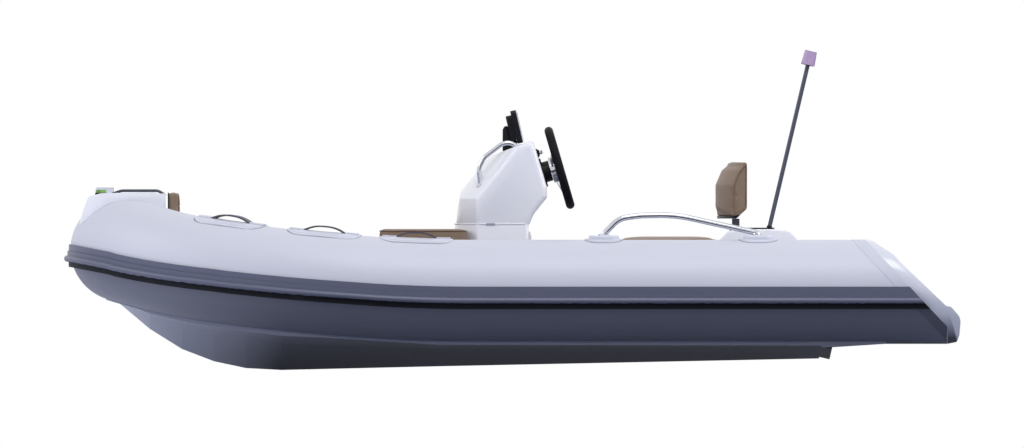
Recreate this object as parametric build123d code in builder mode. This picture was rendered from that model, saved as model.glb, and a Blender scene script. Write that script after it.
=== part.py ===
"""A 3.8 m inflatable boat with a rigid V hull, a helm console and three padded seats.

Frame: +X runs aft, +Y to starboard and +Z up. The origin is at the waterline, on the
centreline amidships. All sizes are in millimetres.
"""
import os
from math import cos, radians, sin, tan

from build123d import *

os.makedirs("parts", exist_ok=True)

# ---- Clearances -----------------------------------------------------------------------
SEAT = 0.3            # between pieces that rest on each other
LID_GAP = 6.0         # between a lid's edge and what stands beside it

# ---- Collar: the inflated tube --------------------------------------------------------
TUBE_R = 221.0        # outer radius
TUBE_Y = 660.0        # half-breadth of the tube's axis along the cockpit
TUBE_Z = 192.0        # height of the axis aft
SHEER_X = -420.0      # where the tube starts to rise
BEND_X = -919.0       # where it starts to turn in
BOW_X = -1656.0       # axis at the stem
BOW_RISE = 180.0      # how far the axis rises to the stem
CUT_TOP_X = 1500.0    # slanted stern cut: where it meets the tube's crest
CUT_ANGLE = 46.8      # its slope
CUT_FOOT_H = 73.5     # height of the cut's upright foot above the tube's underside
CUT_FILLET = 60.0
BLANK = 100.0         # how far the blanks reach past the cuts that trim them

CREST = TUBE_Z + TUBE_R
UNDERSIDE = TUBE_Z - TUBE_R
# Moulded end cap, heel: out from the cut's foot, up from the tube's underside, rounding
CAP_HEEL = [(41.0, 0.036 * TUBE_R, 10.0), (52.0, 0.172 * TUBE_R, 40.0),
            (57.0, 0.439 * TUBE_R, 30.0), (51.0, 0.534 * TUBE_R, 30.0),
            (16.0, 0.715 * TUBE_R, 14.0)]
# Its slanted face: down from the crest, thickness square to the cut, rounding
CAP_FACE = [(1.272 * TUBE_R, 57.0, 14.0), (0.416 * TUBE_R, 41.5, 60.0),
            (0.285 * TUBE_R, 44.0, 30.0), (-0.09 * TUBE_R, 8.0, 0.0)]
BOW_Z = TUBE_Z + BOW_RISE
CUT_RUN = 1 / tan(radians(CUT_ANGLE))
CUT_FOOT_Z = UNDERSIDE + CUT_FOOT_H
CUT_FOOT_X = CUT_TOP_X + (CREST - CUT_FOOT_Z) * CUT_RUN
STERN_X = CUT_FOOT_X + BLANK      # blank end of the tube, before its cut

# ---- Rubbing strake -------------------------------------------------------------------
BAND_TOP = 22.0       # top edge above the tube's axis
BAND_LOW = -73.0      # lower edge, below the axis
BAND_PROUD = 7.0
STEP_TOP = -5.0       # the thicker part of the band, from here down to the bead
STEP_PROUD = 13.0
BEAD_Z = -38.0
BEAD_R = 13.0
BEAD_PROUD = 14.0     # centre of the bead, out from the tube's side

# ---- Hull -----------------------------------------------------------------------------
FLANGE_OUT = 66.0     # flange edge, outboard of the tube's axis
INNER_SOLE = 55.0     # top of the hull inside the collar
FORE_VOID_X = -1340.0
FORE_VOID_Y = 190.0
WAIST_X = -1000.0
WAIST_Y = 430.0
DECK_T = 15.0
KEEL_AFT = -87.0
# x, keel height, chine half-breadth, chine height, edge height, top height
HULL_STATIONS = [
    (1500.0, KEEL_AFT, 500.0, -47.0, -33.0, 150.0),
    (-300.0, -124.0, 500.0, -50.0, -27.0, 150.0),
    (-979.0, -140.0, 440.0, -28.0, 20.0, 190.0),
    (-1131.0, -132.0, 400.0, -5.0, 42.0, 215.0),
    (-1267.0, -103.0, 340.0, 20.0, 64.0, 240.0),
    (-1403.0, -51.0, 270.0, 52.0, 88.0, 270.0),
    (-1539.0, 34.0, 200.0, 92.0, 116.0, 300.0),
    (-1675.0, 148.0, 110.0, 152.0, 150.0, 330.0),
    (-1760.0, 205.0, 60.0, 200.0, 185.0, 345.0),
]
EDGE_Y = 800.0        # beyond the flange, trimmed by the plan outline
TAIL_X = 1586.0       # flange's aft end, under the tube
TAIL_Y = 560.0
TAIL_Z = (UNDERSIDE - 14.0, UNDERSIDE)   # underside at the transom and at its aft end
TAIL_LAP = 60.0       # blank forward of the transom and above the flange, trimmed away

# ---- Transom --------------------------------------------------------------------------
TRANSOM_X = 1322.0    # forward face at the waterline
TRANSOM_RAKE = 13.0
TRANSOM_T = 45.0
TRANSOM_TOP = 400.0
TRANSOM_SHOULDER = 330.0
MOTOR_HALF = 190.0
MOTOR_SLOPE = 70.0    # run of the slope from the motor's seat to the shoulder
PAD_T = 8.0           # motor pads, on both faces
PAD_W = 300.0
PAD_H = 190.0

# ---- Bow moulding ---------------------------------------------------------------------
STEP_HALF = 200.0
STEP_CORNER = 90.0    # rounding of its forward corners in plan
STEP_STAND = 22.0     # top above the tube's crest at the stem
STEP_TOP_Z = BOW_Z + TUBE_R + STEP_STAND
STEP_FRONT_X = BOW_X - TUBE_R + 37.0
STEP_AFT_X = BOW_X + TUBE_R - 29.0
# Forward face: aft of the front, down from the top, rounding
STEP_FACE = [(0.0, 135.0, 0.0), (21.0, 67.0, 60.0), (40.0, 18.0, 12.0), (95.0, 4.0, 60.0)]
STEP_NOSE = (60.0, 9.0)   # aft top edge: length of its curve and drop

# ---- Console --------------------------------------------------------------------------
CONSOLE_HALF = 270.0
CONSOLE_FRONT_X = -244.0
CONSOLE_BULGE = 94.0  # how far the front arches forward of its corners
CONSOLE_AFT_X = 69.0
CONSOLE_REACH = 400.0 # aft end of a plan outline that another cut trims
PLINTH_TOP = 480.0
DASH_TILT = 16.3      # of the dash and the wheel, top forward

# ---- Helm -----------------------------------------------------------------------------
WHEEL_X = 199.6
WHEEL_Z = 718.4
WHEEL_R = 181.0       # outer radius
RIM_R = 18.5          # radius of the rim's grip
HUB_R = 55.0
HUB_T = 22.0
SPOKES = 3
HELM_R = 44.0

# ---- Seats ----------------------------------------------------------------------------
FRONT_SEAT_X = -574.0
FRONT_SEAT_HALF = 300.0
FRONT_SEAT_TOP = 459.0
FRONT_PAD_T = 62.0
HELM_SEAT_X = 450.0
HELM_PAD_AFT_X = 874.0
HELM_SEAT_TOP = 427.0
HELM_PAD_T = 56.0
HELM_SEAT_HALF = 400.0
HELM_BOX_AFT_X = 1212.0
BOW_SEAT_AFT_X = -1010.0
BOW_SEAT_TOP = 436.0
BOW_PAD_T = 50.0
LID_T = 12.0
WALL = 8.0


# ---- Helpers --------------------------------------------------------------------------
def fillet_radii(points):
    """Give the largest tangent radius for each corner that its two runs allow."""
    radii = []
    for before, corner, after in zip(points, points[1:], points[2:]):
        run_in = Vector(*corner) - Vector(*before)
        run_out = Vector(*after) - Vector(*corner)
        share_in = 0.96 if before is points[0] else 0.48
        share_out = 0.96 if after is points[-1] else 0.48
        reach = min(share_in * run_in.length, share_out * run_out.length)
        radii.append(reach / tan(radians(run_in.get_angle(run_out) / 2)))
    return radii


def axis_points(out=0.0):
    """Corners of the port tube's axis from stern to stem, moved outboard by `out`."""
    span = BOW_X - BEND_X
    # share of the run to the stem, share of the half-breadth, share of the rise
    shares = [(0.0, 1.0, 0.21), (0.634, 0.732, 0.56), (1.0, 0.268, 1.0), (1.0, 0.0, 1.0)]
    stretch = out / TUBE_Y
    points = [(STERN_X, -TUBE_Y - out, TUBE_Z), (SHEER_X, -TUBE_Y - out, TUBE_Z)]
    for run, breadth, rise in shares:
        x = BEND_X + span * run - out * run
        points.append((x, -TUBE_Y * breadth * (1 + stretch), TUBE_Z + BOW_RISE * rise))
    return points


def tube_solid(radius):
    """Port half of the collar as a round bar of the given radius, before its stern cut."""
    points = axis_points()
    with BuildPart() as bar:
        with BuildLine() as axis:
            FilletPolyline(*points, radius=fillet_radii(points))
        with BuildSketch(Plane(origin=points[0], z_dir=(-1, 0, 0))):
            Circle(radius)
        sweep(path=axis.line)
    return bar.part


def block(x_fore, x_aft, half, mode=Mode.ADD):
    """Draw a plan rectangle between two stations."""
    corners = ((x_fore, -half), (x_aft, -half), (x_aft, half), (x_fore, half))
    return Polygon(*corners, align=None, mode=mode)


def both_sides(part):
    """Return a part and its mirror image across the centreline plane."""
    return [part, mirror(part, about=Plane.XZ, mode=Mode.PRIVATE)]


def axis_frame(x):
    """Plane at the port axis abreast of station x: its X follows the tube aft, its Z is up."""
    low, high = 0.0, 1.0
    for _ in range(30):
        middle = (low + high) / 2
        if (AXIS_LINE @ middle).X > x:
            low = middle
        else:
            high = middle
    along = (AXIS_LINE % low) * -1
    return Plane(origin=AXIS_LINE @ low, x_dir=along, z_dir=Vector(0, 0, 1) - along * along.Z)


POINTS = axis_points()
with BuildLine() as axis_line:
    FilletPolyline(*POINTS, radius=fillet_radii(POINTS))
AXIS_LINE = axis_line.wire()
CLEAR_TUBES = both_sides(tube_solid(TUBE_R + SEAT))


# ---- Tubes ----------------------------------------------------------------------------
def cut_x(z, offset=0.0):
    """Where the slanted cut, moved aft square to itself by offset, stands at height z."""
    return CUT_TOP_X + (CREST - z) * CUT_RUN + offset / sin(radians(CUT_ANGLE))


with BuildPart() as stern_block:
    with BuildSketch(Plane.XZ):
        with BuildLine():
            FilletPolyline(
                (cut_x(CREST + BLANK), CREST + BLANK),
                (CUT_FOOT_X, CUT_FOOT_Z),
                (CUT_FOOT_X, UNDERSIDE - BLANK),
                (STERN_X + BLANK, UNDERSIDE - BLANK),
                (STERN_X + BLANK, CREST + BLANK),
                radius=[CUT_FILLET, 0, 0],
                close=False,
            )
            Line((STERN_X + BLANK, CREST + BLANK), (cut_x(CREST + BLANK), CREST + BLANK))
        make_face()
    extrude(amount=2 * TUBE_Y, both=True)

tube_blank = tube_solid(TUBE_R)
with BuildPart() as tube_port:
    add(tube_blank)
    add(stern_block.part, mode=Mode.SUBTRACT)
tube_port.part.label = "tube_port"
export_step(tube_port.part, "parts/tube_port.step")

with BuildPart() as tube_starboard:
    add(mirror(tube_port.part, about=Plane.XZ, mode=Mode.PRIVATE))
tube_starboard.part.label = "tube_starboard"
export_step(tube_starboard.part, "parts/tube_starboard.step")

# ---- Moulded end caps -----------------------------------------------------------------
CAP_HEAD_Z = CREST - CAP_FACE[-1][0]
CAP_HEAD_X = cut_x(CAP_HEAD_Z, CAP_FACE[-1][1])
with BuildPart() as end_caps:
    with BuildSketch(Plane.XZ):
        with BuildLine():
            FilletPolyline(
                (cut_x(CAP_HEAD_Z, SEAT), CAP_HEAD_Z),
                (CUT_FOOT_X + SEAT, CUT_FOOT_Z),
                (CUT_FOOT_X + SEAT, UNDERSIDE),
                *[(CUT_FOOT_X + out, UNDERSIDE + up) for out, up, _ in CAP_HEEL],
                *[(cut_x(CREST - down, thick), CREST - down) for down, thick, _ in CAP_FACE],
                radius=[CUT_FILLET, 0, *[row[2] for row in CAP_HEEL + CAP_FACE[:-1]]],
            )
            Line((CAP_HEAD_X, CAP_HEAD_Z), (cut_x(CAP_HEAD_Z, SEAT), CAP_HEAD_Z))
        make_face()
    extrude(amount=2 * TUBE_Y, both=True)
    with BuildSketch(Plane(origin=(0, 0, TUBE_Z), z_dir=(1, 0, 0), x_dir=(0, 1, 0))):
        with Locations((-TUBE_Y, 0), (TUBE_Y, 0)):
            Circle(TUBE_R)
    extrude(amount=2 * STERN_X, mode=Mode.INTERSECT)
end_caps.part.label = "end_caps"
export_step(end_caps.part, "parts/end_caps.step")

# ---- Rubbing strake: a flat band with a step and a round bead ----------------------------
BAND_DEPTH = 90.0     # blank depth, trimmed by the tube
with BuildLine() as guide_line:
    FilletPolyline(*[(x, y, z + TUBE_R) for x, y, z in POINTS], radius=fillet_radii(POINTS))
with BuildPart() as strake:
    with BuildLine() as strake_axis:
        FilletPolyline(*POINTS, radius=fillet_radii(POINTS))
    with BuildSketch(Plane(origin=POINTS[0], x_dir=(0, -1, 0), z_dir=(-1, 0, 0))):
        with Locations((TUBE_R + BAND_PROUD, BAND_LOW)):
            Rectangle(BAND_DEPTH, BAND_TOP - BAND_LOW, align=(Align.MAX, Align.MIN))
        with Locations((TUBE_R + STEP_PROUD, BEAD_Z)):
            Rectangle(BAND_DEPTH, STEP_TOP - BEAD_Z, align=(Align.MAX, Align.MIN))
        with Locations((TUBE_R + BEAD_PROUD, BEAD_Z)):
            Circle(BEAD_R)
    sweep(path=strake_axis.wire(), binormal=guide_line.wire())
    add(CLEAR_TUBES[0], mode=Mode.SUBTRACT)
    add(stern_block.part, mode=Mode.SUBTRACT)
    mirror(about=Plane.XZ)
strake.part.label = "rubbing_strake"
export_step(strake.part, "parts/rubbing_strake.step")


# ---- Hull -----------------------------------------------------------------------------
def seat_tubes():
    """Cut the seats of both tubes out of the part that is being built."""
    for side in CLEAR_TUBES:
        add(side, mode=Mode.SUBTRACT)


EDGE_POINTS = [(x, y, 0) for x, y, _ in axis_points(FLANGE_OUT) if x != SHEER_X]
RAKE = radians(TRANSOM_RAKE)
TRANSOM_PLANE = Plane(origin=(TRANSOM_X, 0, 0), x_dir=(0, 1, 0), z_dir=(cos(RAKE), 0, -sin(RAKE)))

with BuildPart() as cockpit_void:
    with BuildSketch(Plane.XY.offset(INNER_SOLE)):
        with BuildLine():
            Polyline(
                (FORE_VOID_X, 0), (FORE_VOID_X, -FORE_VOID_Y), (WAIST_X, -WAIST_Y),
                (BEND_X, -TUBE_Y), (STERN_X, -TUBE_Y), (STERN_X, 0), (FORE_VOID_X, 0),
            )
        make_face()
        mirror(about=Plane.XZ)
    extrude(amount=2 * TUBE_R)

with BuildPart() as vee:
    for x, keel_z, chine_y, chine_z, edge_z, top_z in HULL_STATIONS:
        with BuildSketch(Plane(origin=(x, 0, 0), x_dir=(0, 1, 0), z_dir=(1, 0, 0))):
            Polygon(
                (0, keel_z), (chine_y, chine_z), (EDGE_Y, edge_z), (EDGE_Y, top_z),
                (-EDGE_Y, top_z), (-EDGE_Y, edge_z), (-chine_y, chine_z),
                align=None,
            )
    loft(ruled=True)

with BuildPart() as hull:
    with BuildSketch(Plane.XY.offset(-TUBE_R)):
        with BuildLine() as edge:
            FilletPolyline(*EDGE_POINTS, radius=fillet_radii(EDGE_POINTS))
            Polyline(EDGE_POINTS[-1], (STERN_X, 0), EDGE_POINTS[0])
        make_face()
        mirror(about=Plane.XZ)
    extrude(amount=4 * TUBE_R)
    add(vee.part, mode=Mode.INTERSECT)
    add(cockpit_void.part, mode=Mode.SUBTRACT)
    seat_tubes()
    split(bisect_by=TRANSOM_PLANE, keep=Keep.BOTTOM)
hull.part.label = "hull"
export_step(hull.part, "parts/hull.step")

# ---- Deck, transom and flange tails -------------------------------------------------------
with BuildPart() as deck:
    with BuildSketch(Plane.XY.offset(INNER_SOLE)):
        with BuildLine():
            Polyline(
                (FORE_VOID_X + SEAT, 0), (FORE_VOID_X + SEAT, SEAT - FORE_VOID_Y),
                (WAIST_X, 3 * SEAT - WAIST_Y), (BEND_X, -TUBE_Y), (STERN_X, -TUBE_Y), (STERN_X, 0),
                (FORE_VOID_X + SEAT, 0),
            )
        make_face()
        mirror(about=Plane.XZ)
    extrude(amount=DECK_T)
    seat_tubes()
    split(bisect_by=TRANSOM_PLANE, keep=Keep.BOTTOM)
deck.part.label = "deck"
export_step(deck.part, "parts/deck.step")
DECK_Z = INNER_SOLE + DECK_T

TRANSOM_CHINE = HULL_STATIONS[0][2:4]
with BuildPart() as transom:
    with BuildSketch(TRANSOM_PLANE):
        with BuildLine():
            Polyline(
                (0, KEEL_AFT), TRANSOM_CHINE, (TAIL_Y, TAIL_Z[0] + 1), (TAIL_Y, TRANSOM_SHOULDER),
                (MOTOR_HALF + MOTOR_SLOPE, TRANSOM_SHOULDER), (MOTOR_HALF, TRANSOM_TOP / cos(RAKE)),
                (0, TRANSOM_TOP / cos(RAKE)), (0, KEEL_AFT),
            )
        make_face()
        mirror(about=Plane.YZ)
    extrude(amount=TRANSOM_T)
    seat_tubes()
transom.part.label = "transom"
export_step(transom.part, "parts/transom.step")

with BuildPart() as flange_tails:
    with BuildSketch(Plane.XZ.offset(TAIL_Y)):
        Polygon(
            (TRANSOM_X - TAIL_LAP, TAIL_Z[0] - 1), (TRANSOM_X + TRANSOM_T, TAIL_Z[0]),
            (TAIL_X, TAIL_Z[1]), (TAIL_X, TAIL_Z[1] + TAIL_LAP),
            (TRANSOM_X - TAIL_LAP, TAIL_Z[1] + TAIL_LAP), align=None,
        )
    extrude(amount=TUBE_Y + FLANGE_OUT - TAIL_Y)
    add(CLEAR_TUBES[0], mode=Mode.SUBTRACT)
    split(bisect_by=TRANSOM_PLANE, keep=Keep.TOP)
    mirror(about=Plane.XZ)
flange_tails.part.label = "flange_tails"
export_step(flange_tails.part, "parts/flange_tails.step")

PAD_MID = TRANSOM_TOP / cos(RAKE) - PAD_H / 2
with BuildPart() as motor_pads:
    with BuildSketch(TRANSOM_PLANE.offset(TRANSOM_T)):
        with Locations((0, PAD_MID)):
            RectangleRounded(PAD_W, PAD_H, 20)
    extrude(amount=PAD_T)
    with BuildSketch(TRANSOM_PLANE):
        with Locations((0, PAD_MID)):
            RectangleRounded(PAD_W, PAD_H, 20)
    extrude(amount=-PAD_T)
motor_pads.part.label = "motor_pads"
export_step(motor_pads.part, "parts/motor_pads.step")

# ---- Bow moulding and its backrest --------------------------------------------------------
with BuildPart() as bow_step:
    with BuildSketch(Plane.XZ):
        with BuildLine():
            FilletPolyline(
                (BOW_X, BOW_Z),
                *[(STEP_FRONT_X + aft, STEP_TOP_Z - down) for aft, down, _ in STEP_FACE],
                (STEP_AFT_X - STEP_NOSE[0], STEP_TOP_Z),
                (STEP_AFT_X - STEP_NOSE[1], STEP_TOP_Z - STEP_NOSE[1]),
                (STEP_AFT_X, BOW_Z),
                radius=[*[row[2] for row in STEP_FACE], 60, 10],
            )
            Line((STEP_AFT_X, BOW_Z), (BOW_X, BOW_Z))
        make_face()
    extrude(amount=STEP_HALF, both=True)
    with BuildSketch(Plane.XY.offset(BOW_Z)) as step_plan:
        block(STEP_FRONT_X, STEP_AFT_X, STEP_HALF)
        fillet(step_plan.vertices().group_by(Axis.X)[0], radius=STEP_CORNER)
    extrude(amount=STEP_TOP_Z - BOW_Z, mode=Mode.INTERSECT)
    seat_tubes()
bow_step.part.label = "bow_step"
export_step(bow_step.part, "parts/bow_step.step")

BACK_T = 50.0
BACK_LOW = STEP_TOP_Z - 115.0
BACK_GAP = 2.0        # below the moulding's top
BACK_INSET = 15.0     # inside the moulding's sides
BACK_CORNER = (12.0, 25.0)    # chamfer of its aft corners: along x, along y
BACK_HALF = STEP_HALF - BACK_INSET
with BuildPart() as bow_backrest:
    with BuildSketch(Plane.XY.offset(BACK_LOW)):
        with BuildLine():
            Polyline(
                (STEP_AFT_X + SEAT, 0), (STEP_AFT_X + SEAT, BACK_HALF),
                (STEP_AFT_X + BACK_T - BACK_CORNER[0], BACK_HALF),
                (STEP_AFT_X + BACK_T, BACK_HALF - BACK_CORNER[1]), (STEP_AFT_X + BACK_T, 0),
                (STEP_AFT_X + SEAT, 0),
            )
        make_face()
        mirror(about=Plane.XZ)
    extrude(amount=STEP_TOP_Z - BACK_GAP - BACK_LOW)
    seat_tubes()
bow_backrest.part.label = "bow_backrest"
export_step(bow_backrest.part, "parts/bow_backrest.step")

# ---- Navigation light and bow rails -------------------------------------------------------
# Lens front, lens end, body end and bracket end, aft of the moulding's front
LIGHT_X = [STEP_FRONT_X + aft for aft in (70.0, 115.0, 137.0, 146.0)]
# Lens foot, lens top and cover top, from the moulding's top
LIGHT_Z = [STEP_TOP_Z + rise for rise in (-2.0, 10.0, 17.0)]
LIGHT_HALF = 30.0
LIGHT_BASE = 11.0     # depth of the base, trimmed by the moulding
with BuildPart() as nav_base:
    with BuildSketch(Plane.XZ):
        Polygon((LIGHT_X[0] - 2, LIGHT_Z[0] - LIGHT_BASE), (LIGHT_X[0] - 2, LIGHT_Z[0]),
                (LIGHT_X[3], LIGHT_Z[0]), (LIGHT_X[3], LIGHT_Z[0] - LIGHT_BASE), align=None)
    extrude(amount=LIGHT_HALF, both=True)
    add(bow_step.part, mode=Mode.SUBTRACT)
nav_base.part.label = "nav_base"
export_step(nav_base.part, "parts/nav_base.step")

with BuildPart() as nav_body:
    with BuildSketch(Plane.XZ):
        Polygon((LIGHT_X[1], LIGHT_Z[0]), (LIGHT_X[1], LIGHT_Z[1]), (LIGHT_X[0], LIGHT_Z[1]),
                (LIGHT_X[0], LIGHT_Z[2] - 3), (LIGHT_X[0] + 6, LIGHT_Z[2]),
                (LIGHT_X[3], LIGHT_Z[2]), (LIGHT_X[3], LIGHT_Z[0]), align=None)
    extrude(amount=LIGHT_HALF, both=True)
nav_body.part.label = "nav_body"
export_step(nav_body.part, "parts/nav_body.step")

LENS_GAP = 1.0
for name, side in (("nav_lens_port", -1), ("nav_lens_starboard", 1)):
    with BuildPart() as lens:
        with BuildSketch(Plane.XY.offset(LIGHT_Z[0])):
            with BuildLine():
                Polyline((LIGHT_X[1], side * LENS_GAP), (LIGHT_X[0], side * LENS_GAP))
                ThreePointArc(
                    (LIGHT_X[0], side * LENS_GAP),
                    (LIGHT_X[0] + 12, side * LIGHT_HALF * 0.75),
                    (LIGHT_X[1], side * (LIGHT_HALF - 1)),
                )
                Line((LIGHT_X[1], side * (LIGHT_HALF - 1)), (LIGHT_X[1], side * LENS_GAP))
            make_face()
        extrude(amount=LIGHT_Z[1] - LIGHT_Z[0])
    lens.part.label = name
    export_step(lens.part, f"parts/{name}.step")

BOW_RAIL_Y = 130.0
BOW_RAIL_R = 6.0
# x from the stem's axis, z from the moulding's top: the low rail and its two sunk feet
BOW_RAIL = [(-56.0, -11.0), (-4.0, 6.5), (151.0, 6.5), (178.0, -9.0)]
with BuildPart() as bow_rails:
    with BuildLine() as rail_path:
        FilletPolyline(
            *[(BOW_X + aft, -BOW_RAIL_Y, STEP_TOP_Z + rise) for aft, rise in BOW_RAIL],
            radius=[60, 30],
        )
    with BuildSketch(Plane(origin=rail_path.line @ 0, z_dir=rail_path.line % 0)):
        Circle(BOW_RAIL_R)
    sweep(path=rail_path.wire())
    add(bow_step.part, mode=Mode.SUBTRACT)
    mirror(about=Plane.XZ)
bow_rails.part.label = "bow_rails"
export_step(bow_rails.part, "parts/bow_rails.step")

# ---- Bow locker, its lid and cushion --------------------------------------------------
BOW_LID_X = -1385.0
BOW_LID_Y = (128.0, 408.0)          # half-breadth forward and aft
BOW_LID_Z = BOW_SEAT_TOP - BOW_PAD_T - LID_T
BOW_BOX_Y = (182.0, 400.0)


def wedge(x_fore, half_fore, x_aft, half_aft):
    """Draw a plan outline that widens from its forward to its aft end."""
    return Polygon((x_fore, -half_fore), (x_aft, -half_aft), (x_aft, half_aft),
                   (x_fore, half_fore), align=None)


with BuildPart() as bow_locker:
    with BuildSketch(Plane.XY.offset(DECK_Z)):
        wedge(FORE_VOID_X + 5, BOW_BOX_Y[0], BOW_SEAT_AFT_X - 4, BOW_BOX_Y[1])
    extrude(amount=BOW_LID_Z - SEAT - DECK_Z)
    seat_tubes()
    with BuildSketch(Plane.XY.offset(DECK_Z)):
        wedge(FORE_VOID_X + 5 + WALL, BOW_BOX_Y[0] - 1.4 * WALL,
              BOW_SEAT_AFT_X - 4 - WALL, BOW_BOX_Y[1] - 5 * WALL)
    extrude(amount=BOW_LID_Z, mode=Mode.SUBTRACT)
bow_locker.part.label = "bow_locker"
export_step(bow_locker.part, "parts/bow_locker.step")

LID_TUBES = both_sides(tube_solid(TUBE_R + LID_GAP))
with BuildPart() as bow_lid:
    with BuildSketch(Plane.XY.offset(BOW_LID_Z)):
        wedge(BOW_LID_X, BOW_LID_Y[0], BOW_SEAT_AFT_X, BOW_LID_Y[1])
    extrude(amount=LID_T - SEAT)
    for side in LID_TUBES:
        add(side, mode=Mode.SUBTRACT)
bow_lid.part.label = "bow_lid"
export_step(bow_lid.part, "parts/bow_lid.step")

with BuildPart() as bow_cushion:
    with BuildSketch(Plane.XY.offset(BOW_LID_Z + LID_T)):
        wedge(BOW_LID_X, BOW_LID_Y[0] - 2, BOW_SEAT_AFT_X - 2, BOW_LID_Y[1] - 4)
    extrude(amount=BOW_PAD_T)
    fillet(bow_cushion.edges().filter_by(Axis.Z), radius=20)
    for side in LID_TUBES:
        add(side, mode=Mode.SUBTRACT)
bow_cushion.part.label = "bow_cushion"
export_step(bow_cushion.part, "parts/bow_cushion.step")

# ---- Console --------------------------------------------------------------------------
CONSOLE_CORNER_X = CONSOLE_FRONT_X + CONSOLE_BULGE


def console_plan(grow=0.0, aft=CONSOLE_AFT_X, shift=0.0):
    """Draw the console's plan outline: a bowed front and straight sides, grown all round."""
    half = CONSOLE_HALF + grow
    front = CONSOLE_FRONT_X - grow + shift
    corner = CONSOLE_CORNER_X - grow + shift
    with BuildLine() as outline:
        ThreePointArc((corner, half), (front, 0), (corner, -half))
        Polyline((corner, -half), (aft, -half), (aft, half), (corner, half))
    return make_face(outline.edges())


with BuildPart() as console_base:
    with BuildSketch(Plane.XY.offset(DECK_Z)):
        console_plan()
    extrude(amount=PLINTH_TOP - DECK_Z)
    fillet(console_base.edges().filter_by(Axis.Z), radius=18)
console_base.part.label = "console_base"
export_step(console_base.part, "parts/console_base.step")

# The upper moulding: its side outline, then a bowed front that leans back above the knee
KNEE_Z = 612.0
SLOPE = (124.0, 154.0)     # run aft and rise of the sloping front above the knee
LEAN_LOW = 200.0      # how far below the knee the leaning blank starts
LEAN_SHIFT = 20.0     # how far aft of the plan outline the slope passes at the knee
DASH_TOP = (98.0, 800.0)
DASH_FOOT = (147.0, 634.0)
UPPER_FRONT_X = CONSOLE_FRONT_X + 4
UPPER_AFT_X = CONSOLE_AFT_X + 4
# Corners of the side outline: x, z, rounding; the front and top, then the hollow under the dash
CONSOLE_BROW = [(-220.0, 622.0, 50.0), (-95.0, 768.0, 60.0), (84.0, 836.0, 10.0)]
CONSOLE_HOLLOW = [(147.0, 592.0, 20.0), (118.0, 557.0, 60.0), (88.0, 518.0, 60.0)]
DASH_ROUND = 20.0
SHOULDER_ROUND = 24.0 # rounding along the console's shoulders
with BuildPart() as console_upper:
    with BuildSketch(Plane.XZ):
        with BuildLine():
            FilletPolyline(
                (UPPER_FRONT_X, PLINTH_TOP + SEAT), *[row[:2] for row in CONSOLE_BROW],
                DASH_TOP, DASH_FOOT, *[row[:2] for row in CONSOLE_HOLLOW],
                (UPPER_AFT_X, PLINTH_TOP + SEAT),
                radius=[*[row[2] for row in CONSOLE_BROW], DASH_ROUND, DASH_ROUND,
                        *[row[2] for row in CONSOLE_HOLLOW]],
            )
            Line((UPPER_AFT_X, PLINTH_TOP + SEAT), (UPPER_FRONT_X, PLINTH_TOP + SEAT))
        make_face()
    extrude(amount=CONSOLE_HALF + 1, both=True)
    with BuildSketch(Plane.XY.offset(PLINTH_TOP)):
        console_plan(0, CONSOLE_REACH)
    extrude(amount=CONSOLE_REACH, mode=Mode.INTERSECT)
    lean = Vector(SLOPE[0], 0, SLOPE[1])
    with BuildSketch(Plane.XY.offset(KNEE_Z - LEAN_LOW)):
        console_plan(0, CONSOLE_REACH + LEAN_LOW, LEAN_SHIFT - LEAN_LOW * SLOPE[0] / SLOPE[1])
    extrude(amount=lean.length * 3, dir=lean.normalized(), mode=Mode.INTERSECT)
    fillet(
        [edge for edge in console_upper.edges()
         if abs(abs(edge.center().Y) - CONSOLE_HALF) < SEAT and edge.center().Z > PLINTH_TOP + 1],
        radius=SHOULDER_ROUND,
    )
console_upper.part.label = "console_upper"
export_step(console_upper.part, "parts/console_upper.step")

# ---- Console grab rails, dash and plotter -----------------------------------------------
CONSOLE_RAIL_INSET = 66.0
CONSOLE_RAIL_Y = CONSOLE_HALF - CONSOLE_RAIL_INSET
CONSOLE_RAIL_R = 10.0
# x, z and rounding of the rail's corners
CONSOLE_RAIL = [(-134.0, 645.0, 0.0), (-144.0, 715.0, 60.0), (-120.0, 763.0, 60.0),
                (-48.0, 818.0, 40.0), (-14.0, 827.0, 40.0), (42.0, 797.0, 0.0)]
with BuildPart() as console_rails:
    with BuildLine() as rail_path:
        FilletPolyline(*[(x, -CONSOLE_RAIL_Y, z) for x, z, _ in CONSOLE_RAIL],
                       radius=[row[2] for row in CONSOLE_RAIL[1:-1]])
    with BuildSketch(Plane(origin=rail_path.line @ 0, z_dir=rail_path.line % 0)):
        Circle(CONSOLE_RAIL_R)
    sweep(path=rail_path.wire())
    add(console_upper.part, mode=Mode.SUBTRACT)
    mirror(about=Plane.XZ)
console_rails.part.label = "console_rails"
export_step(console_rails.part, "parts/console_rails.step")

TILT = radians(DASH_TILT)
DASH_PLANE = Plane(origin=(DASH_TOP[0], 0, DASH_TOP[1]), x_dir=(0, 1, 0),
                   z_dir=(DASH_TOP[1] - DASH_FOOT[1], 0, DASH_FOOT[0] - DASH_TOP[0]))
PANEL_W = 330.0
PANEL_H = 38.0
PANEL_T = 6.0
PANEL_DROP = 2.0      # below the dash's top edge
with BuildPart() as dash_panel:
    with BuildSketch(DASH_PLANE):
        with Locations((0, -PANEL_H / 2 - PANEL_DROP)):
            RectangleRounded(PANEL_W, PANEL_H, 12)
    extrude(amount=PANEL_T)
dash_panel.part.label = "dash_panel"
export_step(dash_panel.part, "parts/dash_panel.step")

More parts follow.
